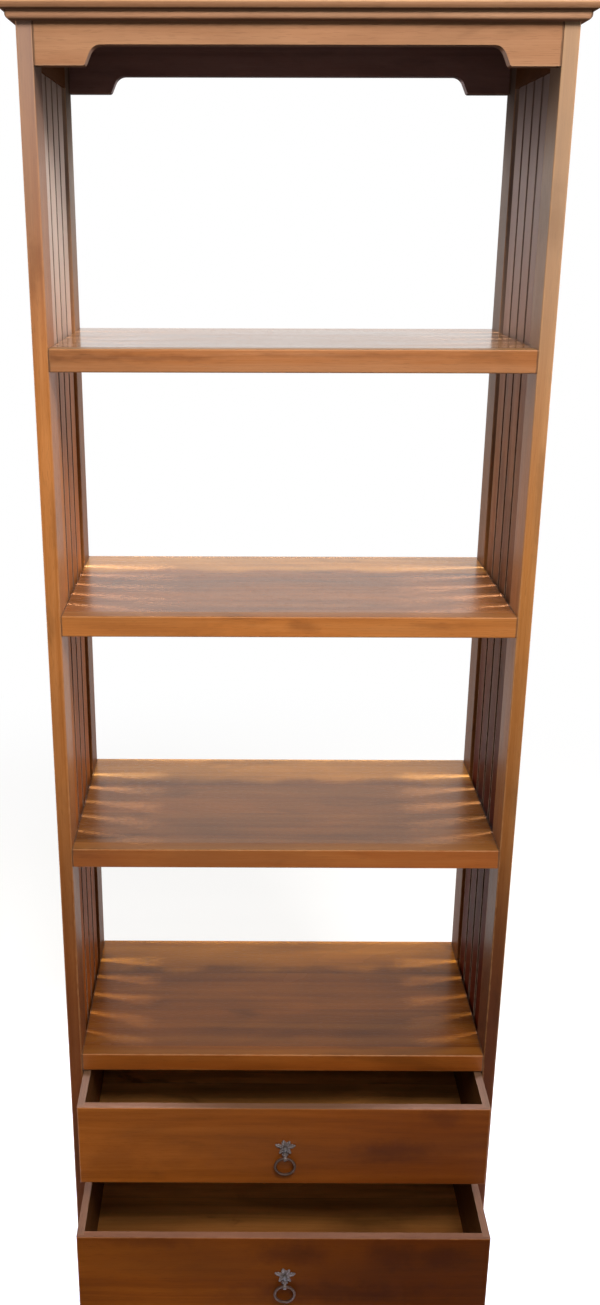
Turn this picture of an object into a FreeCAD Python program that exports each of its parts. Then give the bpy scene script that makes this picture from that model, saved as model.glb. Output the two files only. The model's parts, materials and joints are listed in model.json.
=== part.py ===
"""Bookcase with slatted side frames, four fixed shelves and two drawers at the bottom.

Frame: millimetres, +Z up, the front looks along -Y, the left side is at -X.
The origin is on the floor, below the middle of the bounding box, which reaches from the
back to the ring pull of the lower drawer where it stands open.
"""
import FreeCAD, Part
import math
import os

import Sketcher
from FreeCAD import Placement, Rotation, Vector

SIZES = {
    # Overall
    "overall_height": 1900,
    "frame_width": 670,
    "frame_depth": 325,
    "foot_height": 27,
    # Clearances
    "joint_fit": 0.1,
    "joint_end_gap": 0.5,
    "slide_clearance": 0.3,
    "stop_clearance": 0.3,
    # Side frames
    "side_thickness": 20,
    "stile_width": 57,
    "edge_radius": 2,
    "side_bottom_rail_height": 57,
    "rail_tenon_length": 20,
    "rail_tenon_thickness": 8,
    "rail_tenon_shoulder": 6,
    "slat_count": 4,
    "slat_gap": 10,
    "slat_thickness": 12,
    "slat_setback": 4,
    "slat_housing": 8,
    # Top board and cornice
    "top_board_thickness": 10,
    "top_board_overhang": 18,
    "bullnose_flat": 0.4,
    "cornice_height": 11,
    "cornice_projection": 10.5,
    "cornice_foot": 4,
    # Aprons: the front one's ends line up with the side frames' top rails, the back one is taller
    "apron_thickness": 20,
    "apron_end_height": 59,
    "back_apron_extra_height": 4,
    "apron_end_length": 60,
    "apron_rise": 23,
    "apron_slope_run": 10.5,
    "apron_shoulder_radius": 16,
    "apron_nib_radius": 4,
    # Shelves
    "shelf_count": 4,
    "lowest_shelf_height": 420,
    "shelf_pitch": 360,
    "shelf_board_thickness": 18,
    "shelf_rail_height": 30,
    "shelf_rail_depth": 22,
    "shelf_tongue_length": 6,
    "shelf_tongue_thickness": 6,
    # Dowels
    "dowel_diameter": 8,
    "dowel_in_stile": 12,
    "dowel_in_rail": 28,
    "board_dowel_inset": 28,
    # Drawer case
    "bottom_rail_height": 34,
    "divider_height": 39,
    "front_rail_depth": 22,
    "back_panel_thickness": 9,
    "back_panel_inset": 6,
    "back_panel_groove": 6,
    "runner_width": 18,
    "stop_height": 9,
    "stop_width": 40,
    "stop_offset": 200,
    # Runner screws
    "screw_diameter": 4,
    "screw_head_diameter": 8,
    "screw_head_height": 2.5,
    "screw_in_stile": 11,
    "screw_inset": 26,
    # Drawers
    "upper_opening": 85,
    "lower_opening": 150,
    "front_reveal": 2,
    "drawer_side_gap": 2,
    "drawer_back_gap": 10,
    "drawer_front_thickness": 12,
    "drawer_wall": 11,
    "drawer_rabbet": 7,
    "drawer_groove": 5,
    "drawer_back_inset": 10,
    "drawer_bottom_thickness": 6,
    "drawer_bottom_rise": 10,
    # Ring pulls
    "pull_drop": 3,
    "pull_offset": 3,
    "plate_thickness": 3,
    "plate_disc_diameter": 16,
    "petal_stem_diameter": 4.8,
    "petal_tip_diameter": 6.4,
    "upper_petal_reach": 12.5,
    "lower_petal_reach": 9,
    "eye_clearance": 0.7,
    "eye_wall": 1.9,
    "knuckle_width": 6,
    "knuckle_drop": 15.7,
    "rib_width": 4,
    "rib_thickness": 4,
    "ring_radius": 15,
    "ring_wire_diameter": 4,
    "bolt_diameter": 4,
    "bolt_head_diameter": 9,
    "bolt_head_height": 3,
    "bolt_head_dome": 2.4,
    "bolt_end_length": 2,
    "nut_across_flats": 7,
    "nut_thickness": 3.2,
}
UPPER_PETAL_ANGLES = (29, 67, 105, 148)
LOWER_PETAL_ANGLES = (236, 304)

# Places and sizes that follow from the driving ones, as spreadsheet expressions
HALF_WIDTH = "(sizes.frame_width / 2)"
HALF_DEPTH = "(sizes.frame_depth / 2)"
FRONT_Y = "(-sizes.frame_depth / 2)"
INNER_X = "(sizes.frame_width / 2 - sizes.side_thickness)"
TOP_Z = "(sizes.overall_height - sizes.top_board_thickness)"
RAIL_LENGTH = "(sizes.frame_depth - 2 * sizes.stile_width)"
BOTTOM_RAIL_TOP = "(sizes.foot_height + sizes.side_bottom_rail_height)"
TOP_RAIL_BOTTOM = f"({TOP_Z} - sizes.apron_end_height)"
SLAT_WIDTH = f"(({RAIL_LENGTH} - (sizes.slat_count + 1) * sizes.slat_gap) / sizes.slat_count)"
BOARD_UNDERSIDE = "(sizes.lowest_shelf_height - sizes.shelf_board_thickness)"
PANEL_FRONT_Y = f"({HALF_DEPTH} - sizes.back_panel_inset - sizes.back_panel_thickness)"
FRONT_HEIGHT = (
    "((sizes.lowest_shelf_height - sizes.shelf_rail_height - sizes.foot_height"
    " - sizes.bottom_rail_height - sizes.divider_height - 4 * sizes.front_reveal) / 2)"
)
LOWER_RAIL_TOP = "(sizes.foot_height + sizes.bottom_rail_height)"
LOWER_DRAWER_Z = f"({LOWER_RAIL_TOP} + sizes.front_reveal)"
DIVIDER_Z = f"({LOWER_DRAWER_Z} + {FRONT_HEIGHT} + sizes.front_reveal)"
DIVIDER_TOP = f"({DIVIDER_Z} + sizes.divider_height)"
UPPER_DRAWER_Z = f"({DIVIDER_TOP} + sizes.front_reveal)"
DRAWER_X = f"({INNER_X} - sizes.drawer_side_gap)"
DRAWER_INNER_X = f"({DRAWER_X} - sizes.drawer_wall)"
DRAWER_BOTTOM_TOP = "(sizes.drawer_bottom_rise + sizes.drawer_bottom_thickness)"
DRAWER_DEPTH = f"({PANEL_FRONT_Y} - sizes.drawer_back_gap + {HALF_DEPTH})"
PULL_Z = f"({FRONT_HEIGHT} / 2 - sizes.pull_drop)"
EYE_DIAMETER = "(sizes.ring_wire_diameter + 2 * sizes.eye_clearance)"
KNUCKLE_DIAMETER = f"({EYE_DIAMETER} + 2 * sizes.eye_wall)"
EYE_Y = f"(-{KNUCKLE_DIAMETER} / 2)"
# Expressions along Y count from the side frames' middle, which lies this far behind the origin
MIDDLE_Y = f"((sizes.lower_opening + {KNUCKLE_DIAMETER}) / 2)"
HOLE_DIAMETER = "(sizes.dowel_diameter + 2 * sizes.joint_fit)"
HOLE_IN_STILE = "(sizes.dowel_in_stile + sizes.joint_end_gap)"
HOLE_IN_RAIL = "(sizes.dowel_in_rail + sizes.joint_end_gap)"
SCREW_HOLE_DIAMETER = "(sizes.screw_diameter + 2 * sizes.joint_fit)"
SCREW_Y = f"({RAIL_LENGTH} / 2 + sizes.screw_inset)"

LEFT, RIGHT = -1, 1
FRONT, BACK = -1, 1
SIDE_NAMES = {LEFT: "left", RIGHT: "right"}
END_NAMES = {FRONT: "front", BACK: "back"}
TURN_Z_TO = {
    "x": Rotation(Vector(0, 1, 0), 90),
    "y": Rotation(Vector(1, 0, 0), -90),
    "z": Rotation(),
}

doc = FreeCAD.newDocument("bookcase_with_drawers")
sheet = doc.addObject("Spreadsheet::Sheet", "sizes")
for row, (alias, number) in enumerate(SIZES.items(), start=1):
    sheet.set(f"A{row}", alias.replace("_", " "))
    sheet.set(f"B{row}", str(number))
    sheet.setAlias(f"B{row}", alias)
doc.recompute()
sub_parts = []


# ---------------------------------------------------------------- helpers

def bind(item, expressions):
    """Binds properties of an object to expressions of the sheet."""
    for path, expression in expressions.items():
        item.setExpression(path, expression)


def value(expression):
    """The present value of an expression of the sheet."""
    return float(sheet.evalExpression(expression))


def negative(expression):
    return f"(-({expression}))"


def on_side(sign, distance):
    """The place at a distance from a middle plane, on its + or - side."""
    return distance if sign > 0 else negative(distance)


def outward(sign, near, far):
    """The span from near to far of a middle plane, on its + or - side, low end first."""
    if sign > 0:
        return near, far
    return negative(far), negative(near)


def both_ways(reach):
    """The span that reaches equally far to both sides of a middle plane."""
    return negative(reach), reach


def about(middle, width):
    """The span of a width about a middle."""
    return f"({middle} - ({width}) / 2)", f"({middle} + ({width}) / 2)"


def new_body(label, x="0", y="0", z="0"):
    """A sub-part's body, placed at x, y, z from the side frames' middle."""
    body = doc.addObject("PartDesign::Body", label)
    body.Label = label
    bind(body, {
        "Placement.Base.x": x,
        "Placement.Base.y": f"{MIDDLE_Y} + {y}",
        "Placement.Base.z": z,
    })
    sub_parts.append(body)
    return body


def box(body, kind, name, x, y, z):
    """An additive or subtractive box from its (low, high) span along each axis."""
    feature = body.newObject(f"PartDesign::{kind}Box", name)
    for size, axis, (low, high) in zip(("Length", "Width", "Height"), "xyz", (x, y, z)):
        bind(feature, {size: f"({high}) - ({low})", f"Placement.Base.{axis}": low})
    return feature


def cylinder(body, kind, name, axis, span, centre, diameter):
    """An additive or subtractive cylinder along an axis; centre holds its other two places."""
    feature = body.newObject(f"PartDesign::{kind}Cylinder", name)
    feature.Placement = Placement(Vector(), TURN_Z_TO[axis])
    low, high = span
    places = dict(zip("xyz".replace(axis, ""), centre))
    places[axis] = low
    bind(feature, {"Height": f"({high}) - ({low})", "Radius": f"({diameter}) / 2"})
    for letter, place in places.items():
        feature.setExpression(f"Placement.Base.{letter}", place)
    return feature


def outline_sketch(body, name, plane_role, points):
    """A sketch on one of the body's own planes with a closed outline through the points."""
    sketch = body.newObject("Sketcher::SketchObject", name)
    plane = next(item for item in body.Origin.OriginFeatures if item.Role == plane_role)
    sketch.AttachmentSupport = (plane, [""])
    sketch.MapMode = "FlatFace"
    corners = [Vector(value(across), value(along), 0) for across, along in points]
    for start, end in zip(corners, corners[1:] + corners[:1]):
        sketch.addGeometry(Part.LineSegment(start, end))
    count = len(corners)
    for line in range(count):
        sketch.addConstraint(Sketcher.Constraint("Coincident", line, 2, (line + 1) % count, 1))
    for line, (across, along) in enumerate(points):
        for kind, expression in (("DistanceX", across), ("DistanceY", along)):
            constraint = Sketcher.Constraint(kind, -1, 1, line, 1, value(expression))
            number = sketch.addConstraint(constraint)
            sketch.setExpression(f"Constraints[{number}]", expression)
    return sketch


def pad(body, name, sketch, start, length):
    """Pads a sketch by length, from start along the sketch's normal."""
    sketch.setExpression("AttachmentOffset.Base.z", start)
    feature = body.newObject("PartDesign::Pad", name)
    feature.Profile = sketch
    feature.setExpression("Length", length)
    return feature


def lies_at(edge, places):
    """Whether every end of an edge has the given coordinates."""
    for letter, expression in places.items():
        wanted = value(expression)
        for vertex in edge.Vertexes:
            if abs(getattr(vertex.Point, letter) - wanted) > 1e-4:
                return False
    return True


def fillet(body, name, radius, edge_places):
    """Rounds the edges whose ends share the coordinates of one of edge_places."""
    doc.recompute()
    base = body.Tip
    edges = []
    for number, edge in enumerate(base.Shape.Edges, start=1):
        if any(lies_at(edge, places) for places in edge_places):
            edges.append(f"Edge{number}")
    if len(edges) < len(edge_places):
        raise RuntimeError(f"{body.Label}: {name} finds {len(edges)} of {len(edge_places)} edges")
    feature = body.newObject("PartDesign::Fillet", name)
    feature.Base = (base, edges)
    feature.setExpression("Radius", radius)
    return feature


def group(label, members):
    """One sub-part that holds several separate solids."""
    compound = doc.addObject("Part::Compound", label)
    compound.Label = label
    compound.Links = members
    bind(compound, {"Placement.Base.y": MIDDLE_Y})
    sub_parts.append(compound)
    return compound


def dowel_holes_in_ends(body, y, z):
    """A dowel hole in the left and the right end of a piece that fits between the sides."""
    for side in (LEFT, RIGHT):
        span = outward(side, f"{INNER_X} - {HOLE_IN_RAIL}", INNER_X)
        cylinder(body, "Subtractive", "DowelHole", "x", span, (y, z), HOLE_DIAMETER)


# ---------------------------------------------------------------- where the pieces join the stiles

def shelf_top(number):
    """Height of the top of a shelf, counted from 1 at the bottom."""
    return f"(sizes.lowest_shelf_height + {number - 1} * sizes.shelf_pitch)"


SHELF_NUMBERS = range(1, SIZES["shelf_count"] + 1)
RAIL_DOWEL_Y = f"({FRONT_Y} + sizes.shelf_rail_depth / 2)"
BOARD_DOWEL_Y = f"({HALF_DEPTH} - sizes.board_dowel_inset)"
FRONT_RAIL_DOWEL_Y = f"({FRONT_Y} + sizes.front_rail_depth / 2)"
FRONT_APRON_DOWEL_Y = f"({FRONT_Y} + sizes.apron_thickness / 2)"
BACK_APRON_DOWEL_Y = f"({HALF_DEPTH} - sizes.apron_thickness / 2)"
APRON_DOWEL_Z = f"({TOP_Z} - sizes.apron_end_height / 2)"

FRONT_DOWELS = [
    (RAIL_DOWEL_Y, f"({shelf_top(number)} - sizes.shelf_rail_height / 2)") for number in SHELF_NUMBERS
]
FRONT_DOWELS += [
    (FRONT_RAIL_DOWEL_Y, "(sizes.foot_height + sizes.bottom_rail_height / 2)"),
    (FRONT_RAIL_DOWEL_Y, f"({DIVIDER_Z} + sizes.divider_height / 2)"),
    (FRONT_APRON_DOWEL_Y, APRON_DOWEL_Z),
]
BACK_DOWELS = [
    (BOARD_DOWEL_Y, f"({shelf_top(number)} - sizes.shelf_board_thickness / 2)")
    for number in SHELF_NUMBERS
]
BACK_DOWELS += [(BACK_APRON_DOWEL_Y, APRON_DOWEL_Z)]

# Runners and kickers: name and the heights that each fills between the drawer sides
RUNNERS = {
    "lower_runner": ("sizes.foot_height", f"({LOWER_DRAWER_Z} - sizes.slide_clearance)"),
    "upper_runner": (
        f"({LOWER_DRAWER_Z} + {FRONT_HEIGHT} + sizes.slide_clearance)",
        f"({UPPER_DRAWER_Z} - sizes.slide_clearance)",
    ),
    "kicker": (f"({UPPER_DRAWER_Z} + {FRONT_HEIGHT} + sizes.slide_clearance)", BOARD_UNDERSIDE),
}
SCREW_HEIGHTS = [f"(({low} + {high}) / 2)" for low, high in RUNNERS.values()]


# ---------------------------------------------------------------- side frames

def tenon_span(low, high):
    """Heights of a rail's tenon, between the rail's shoulders."""
    return f"{low} + sizes.rail_tenon_shoulder", f"{high} - sizes.rail_tenon_shoulder"


def widened(span):
    """A span with the joint's fit added at both ends."""
    low, high = span
    return f"{low} - sizes.joint_fit", f"{high} + sizes.joint_fit"


def tenon_thickness_span(side):
    near = "((sizes.side_thickness - sizes.rail_tenon_thickness) / 2)"
    return outward(side, near, f"({near} + sizes.rail_tenon_thickness)")


def make_stile(side, end):
    """An upright of a side frame; its local origin is its outer corner on the inner face."""
    label = f"{SIDE_NAMES[side]}_{END_NAMES[end]}_stile"
    place_y = on_side(end, HALF_DEPTH)
    body = new_body(label, x=on_side(side, INNER_X), y=place_y)
    wood_x = outward(side, "0", "sizes.side_thickness")
    wood_y = outward(-end, "0", "sizes.stile_width")
    box(body, "Additive", "Upright", wood_x, wood_y, ("0", TOP_Z))
    outer_x = on_side(side, "sizes.side_thickness")
    fillet(body, "RoundedEdges", "sizes.edge_radius", [{"x": "0", "y": "0"}, {"x": outer_x, "y": "0"}])
    mortise_end = "(sizes.stile_width - sizes.rail_tenon_length - sizes.joint_end_gap)"
    mortise_y = outward(-end, mortise_end, "sizes.stile_width")
    for low, high in (("sizes.foot_height", BOTTOM_RAIL_TOP), (TOP_RAIL_BOTTOM, TOP_Z)):
        mortise_z = widened(tenon_span(low, high))
        box(body, "Subtractive", "Mortise", widened(tenon_thickness_span(side)), mortise_y, mortise_z)
    hole_x = outward(side, "0", HOLE_IN_STILE)
    for world_y, z in FRONT_DOWELS if end == FRONT else BACK_DOWELS:
        local_y = f"({world_y} - {place_y})"
        cylinder(body, "Subtractive", "DowelHole", "x", hole_x, (local_y, z), HOLE_DIAMETER)
    pilot_x = outward(side, "0", "sizes.screw_in_stile + sizes.joint_end_gap")
    for z in SCREW_HEIGHTS:
        local_y = f"({on_side(end, SCREW_Y)} - {place_y})"
        cylinder(body, "Subtractive", "PilotHole", "x", pilot_x, (local_y, z), SCREW_HOLE_DIAMETER)
    if end == BACK:
        groove_x = outward(side, "0", "sizes.back_panel_groove + sizes.joint_fit")
        groove_y = (
            "-(sizes.back_panel_inset + sizes.back_panel_thickness + sizes.joint_fit)",
            "-(sizes.back_panel_inset - sizes.joint_fit)",
        )
        box(body, "Subtractive", "PanelGroove", groove_x, groove_y, ("sizes.foot_height", BOARD_UNDERSIDE))


def slat_middle(number):
    """Place along Y of the middle of a slat, counted from 1 at the front."""
    return f"(-{RAIL_LENGTH} / 2 + {number} * sizes.slat_gap + ({number} - 0.5) * {SLAT_WIDTH})"


SLAT_NUMBERS = range(1, SIZES["slat_count"] + 1)
SLAT_X = ("sizes.slat_setback", "(sizes.slat_setback + sizes.slat_thickness)")


def make_side_rail(side, name, low, high, housing_z):
    """A rail between a side's stiles, with tenons and with housings for the slats' ends."""
    body = new_body(f"{SIDE_NAMES[side]}_{name}", x=on_side(side, INNER_X))
    rail_x = outward(side, "0", "sizes.side_thickness")
    box(body, "Additive", "Rail", rail_x, both_ways(f"{RAIL_LENGTH} / 2"), (low, high))
    tenon_y = both_ways(f"{RAIL_LENGTH} / 2 + sizes.rail_tenon_length")
    box(body, "Additive", "Tenons", tenon_thickness_span(side), tenon_y, tenon_span(low, high))
    for number in SLAT_NUMBERS:
        housing_y = widened(about(slat_middle(number), SLAT_WIDTH))
        box(body, "Subtractive", "SlatHousing", widened(outward(side, *SLAT_X)), housing_y, housing_z)


def make_slat(side, number):
    """A vertical slat that stands in the bottom rail and reaches into the top rail."""
    body = new_body(f"{SIDE_NAMES[side]}_slat_{number}", x=on_side(side, INNER_X), y=slat_middle(number))
    slat_z = (
        f"{BOTTOM_RAIL_TOP} - sizes.slat_housing",
        f"{TOP_RAIL_BOTTOM} + sizes.slat_housing - sizes.joint_end_gap",
    )
    box(body, "Additive", "Slat", outward(side, *SLAT_X), both_ways(f"{SLAT_WIDTH} / 2"), slat_z)


def make_side_frame(side):
    for end in (FRONT, BACK):
        make_stile(side, end)
    bottom_housing = (f"{BOTTOM_RAIL_TOP} - sizes.slat_housing", BOTTOM_RAIL_TOP)
    top_housing = (TOP_RAIL_BOTTOM, f"{TOP_RAIL_BOTTOM} + sizes.slat_housing")
    make_side_rail(side, "bottom_rail", "sizes.foot_height", BOTTOM_RAIL_TOP, bottom_housing)
    make_side_rail(side, "top_rail", TOP_RAIL_BOTTOM, TOP_Z, top_housing)
    for number in SLAT_NUMBERS:
        make_slat(side, number)


# ---------------------------------------------------------------- top, cornice and aprons

def make_top_board():
    """The top board, its edge half round at the front and at the sides, flush at the back."""
    body = new_body("top_board", z=TOP_Z)
    reach_x = f"({HALF_WIDTH} + sizes.top_board_overhang)"
    front_y = f"({FRONT_Y} - sizes.top_board_overhang)"
    board_z = ("0", "sizes.top_board_thickness")
    box(body, "Additive", "Board", both_ways(reach_x), (front_y, HALF_DEPTH), board_z)
    edges = []
    for z in board_z:
        edges.append({"y": front_y, "z": z})
        edges.append({"x": reach_x, "z": z})
        edges.append({"x": negative(reach_x), "z": z})
    fillet(body, "Bullnose", "(sizes.top_board_thickness - sizes.bullnose_flat) / 2", edges)


def make_cornice():
    """Mitred mouldings under the top board; each has its lower edge rounded back."""
    nose_radius = "sizes.cornice_projection - sizes.cornice_foot"
    outer_x = f"({HALF_WIDTH} + sizes.cornice_projection)"
    outer_y = f"({FRONT_Y} - sizes.cornice_projection)"
    base_z = f"({TOP_Z} - sizes.cornice_height)"
    front = new_body("cornice_front", z=base_z)
    plan = [
        (negative(outer_x), outer_y),
        (outer_x, outer_y),
        (HALF_WIDTH, FRONT_Y),
        (negative(HALF_WIDTH), FRONT_Y),
    ]
    pad(front, "Moulding", outline_sketch(front, "Plan", "XY_Plane", plan), "0", "sizes.cornice_height")
    fillet(front, "Nose", nose_radius, [{"y": outer_y, "z": "0"}])
    for side in (LEFT, RIGHT):
        body = new_body(f"cornice_{SIDE_NAMES[side]}", z=base_z)
        near, far = on_side(side, HALF_WIDTH), on_side(side, outer_x)
        plan = [(near, FRONT_Y), (far, outer_y), (far, HALF_DEPTH), (near, HALF_DEPTH)]
        pad(body, "Moulding", outline_sketch(body, "Plan", "XY_Plane", plan), "0", "sizes.cornice_height")
        fillet(body, "Nose", nose_radius, [{"x": far, "z": "0"}])


def make_apron(end):
    """A board under the top whose lower edge steps up to a thinner middle."""
    place_y = FRONT_Y if end == FRONT else f"({HALF_DEPTH} - sizes.apron_thickness)"
    body = new_body(f"{END_NAMES[end]}_apron", y=place_y, z=TOP_Z)
    extra = "0" if end == FRONT else "sizes.back_apron_extra_height"
    end_z = f"(-sizes.apron_end_height - {extra})"
    middle_z = f"({end_z} + sizes.apron_rise)"
    nib_x = f"({INNER_X} - sizes.apron_end_length)"
    shoulder_x = f"({nib_x} - sizes.apron_slope_run)"
    right_half = [(INNER_X, "0"), (INNER_X, end_z), (nib_x, end_z), (shoulder_x, middle_z)]
    left_half = [(negative(x), z) for x, z in reversed(right_half)]
    sketch = outline_sketch(body, "Outline", "XZ_Plane", right_half + left_half)
    pad(body, "Board", sketch, "-sizes.apron_thickness", "sizes.apron_thickness")
    nibs = [{"x": nib_x, "z": end_z}, {"x": negative(nib_x), "z": end_z}]
    shoulders = [{"x": shoulder_x, "z": middle_z}, {"x": negative(shoulder_x), "z": middle_z}]
    fillet(body, "Shoulders", "sizes.apron_shoulder_radius", shoulders)
    fillet(body, "Nibs", "sizes.apron_nib_radius", nibs)
    dowel_holes_in_ends(body, "sizes.apron_thickness / 2", "-sizes.apron_end_height / 2")


# ---------------------------------------------------------------- shelves

TONGUE_Z = "(-sizes.shelf_board_thickness / 2)"
RAIL_BACK_Y = f"({FRONT_Y} + sizes.shelf_rail_depth)"


def make_shelf(number):
    """A shelf board, tongued into the deeper rail along its front edge."""
    board = new_body(f"shelf_{number}_board", z=shelf_top(number))
    board_z = ("-sizes.shelf_board_thickness", "0")
    box(board, "Additive", "Board", both_ways(INNER_X), (RAIL_BACK_Y, HALF_DEPTH), board_z)
    tongue_y = (f"{RAIL_BACK_Y} - sizes.shelf_tongue_length", RAIL_BACK_Y)
    tongue_z = about(TONGUE_Z, "sizes.shelf_tongue_thickness")
    box(board, "Additive", "Tongue", both_ways(INNER_X), tongue_y, tongue_z)
    dowel_holes_in_ends(board, BOARD_DOWEL_Y, TONGUE_Z)

    rail = new_body(f"shelf_{number}_front_rail", z=shelf_top(number))
    rail_z = ("-sizes.shelf_rail_height", "0")
    box(rail, "Additive", "Rail", both_ways(INNER_X), (FRONT_Y, RAIL_BACK_Y), rail_z)
    front_edges = [{"y": FRONT_Y, "z": "0"}, {"y": FRONT_Y, "z": "-sizes.shelf_rail_height"}]
    fillet(rail, "RoundedEdges", "sizes.edge_radius", front_edges)
    groove_y = (f"{RAIL_BACK_Y} - sizes.shelf_tongue_length - sizes.joint_end_gap", RAIL_BACK_Y)
    box(rail, "Subtractive", "Groove", both_ways(INNER_X), groove_y, widened(tongue_z))
    dowel_holes_in_ends(rail, RAIL_DOWEL_Y, "-sizes.shelf_rail_height / 2")


# ---------------------------------------------------------------- drawer case

def make_front_rail(label, low, height):
    """A rail across the front of the drawer case."""
    body = new_body(label, z=low)
    rail_y = (FRONT_Y, f"{FRONT_Y} + sizes.front_rail_depth")
    box(body, "Additive", "Rail", both_ways(INNER_X), rail_y, ("0", height))
    front_edges = [{"y": FRONT_Y, "z": "0"}, {"y": FRONT_Y, "z": height}]
    fillet(body, "RoundedEdges", "sizes.edge_radius", front_edges)
    dowel_holes_in_ends(body, FRONT_RAIL_DOWEL_Y, f"{height} / 2")


def make_back_panel():
    """The panel behind the drawers, held in grooves of the back stiles."""
    body = new_body("drawer_back_panel", y=PANEL_FRONT_Y)
    panel_x = both_ways(f"{INNER_X} + sizes.back_panel_groove")
    panel_z = ("sizes.foot_height", BOARD_UNDERSIDE)
    box(body, "Additive", "Panel", panel_x, ("0", "sizes.back_panel_thickness"), panel_z)


def make_runner(side, name, low, high):
    """A strip that carries or guides a drawer side, screwed to the stiles."""
    body = new_body(f"{SIDE_NAMES[side]}_{name}")
    inner_face = f"({INNER_X} - sizes.runner_width)"
    strip_y = (f"{FRONT_Y} + sizes.front_rail_depth", PANEL_FRONT_Y)
    box(body, "Additive", "Strip", outward(side, inner_face, INNER_X), strip_y, (low, high))
    middle_z = f"(({low} + {high}) / 2)"
    for end in (FRONT, BACK):
        y = on_side(end, SCREW_Y)
        hole_x = outward(side, inner_face, INNER_X)
        cylinder(body, "Subtractive", "ScrewHole", "x", hole_x, (y, middle_z), SCREW_HOLE_DIAMETER)
        countersink = body.newObject("PartDesign::SubtractiveCone", "Countersink")
        countersink.Placement = Placement(Vector(), Rotation(Vector(0, 1, 0), 90 * side))
        bind(countersink, {
            "Radius1": "sizes.screw_head_diameter / 2 + sizes.joint_fit",
            "Radius2": "sizes.screw_diameter / 2 + sizes.joint_fit",
            "Height": "sizes.screw_head_height",
            "Placement.Base.x": on_side(side, inner_face),
            "Placement.Base.y": y,
            "Placement.Base.z": middle_z,
        })


def make_stops():
    """Blocks on the front rails that the closed drawer fronts come up against."""
    blocks = []
    for rail_top in (LOWER_RAIL_TOP, DIVIDER_TOP):
        for side in (LEFT, RIGHT):
            block = doc.addObject("Part::Box", "StopBlock")
            low_y = f"({FRONT_Y} + sizes.drawer_front_thickness + sizes.stop_clearance)"
            bind(block, {
                "Length": "sizes.stop_width",
                "Width": f"{FRONT_Y} + sizes.front_rail_depth - {low_y}",
                "Height": "sizes.stop_height",
                "Placement.Base.x": f"{side} * sizes.stop_offset - sizes.stop_width / 2",
                "Placement.Base.y": low_y,
                "Placement.Base.z": rail_top,
            })
            blocks.append(block)
    group("drawer_stops", blocks)


def make_dowels():
    """Dowels from the shelves, rails and aprons into the stiles."""
    dowels = []
    for side in (LEFT, RIGHT):
        rail_end = f"{INNER_X} - sizes.dowel_in_rail"
        low_x, high_x = outward(side, rail_end, f"{INNER_X} + sizes.dowel_in_stile")
        for y, z in FRONT_DOWELS + BACK_DOWELS:
            dowel = doc.addObject("Part::Cylinder", "Dowel")
            dowel.Placement = Placement(Vector(), TURN_Z_TO["x"])
            bind(dowel, {
                "Radius": "sizes.dowel_diameter / 2",
                "Height": f"({high_x}) - ({low_x})",
                "Placement.Base.x": low_x,
                "Placement.Base.y": y,
                "Placement.Base.z": z,
            })
            dowels.append(dowel)
    group("frame_dowels", dowels)


def make_screws():
    """Countersunk screws from the runners and kickers into the stiles."""
    screws = []
    inner_face = f"({INNER_X} - sizes.runner_width)"
    for side in (LEFT, RIGHT):
        for end in (FRONT, BACK):
            for z in SCREW_HEIGHTS:
                head = doc.addObject("Part::Cone", "ScrewHead")
                shank = doc.addObject("Part::Cylinder", "ScrewShank")
                bind(head, {
                    "Radius1": "sizes.screw_head_diameter / 2",
                    "Radius2": "sizes.screw_diameter / 2",
                    "Height": "sizes.screw_head_height",
                })
                bind(shank, {
                    "Radius": "sizes.screw_diameter / 2",
                    "Height": "sizes.runner_width + sizes.screw_in_stile",
                })
                screw = doc.addObject("Part::Fuse", "Screw")
                screw.Base = head
                screw.Tool = shank
                screw.Placement = Placement(Vector(), Rotation(Vector(0, 1, 0), 90 * side))
                bind(screw, {
                    "Placement.Base.x": on_side(side, inner_face),
                    "Placement.Base.y": on_side(end, SCREW_Y),
                    "Placement.Base.z": z,
                })
                screws.append(screw)
    group("runner_screws", screws)


# ---------------------------------------------------------------- drawers

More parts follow.
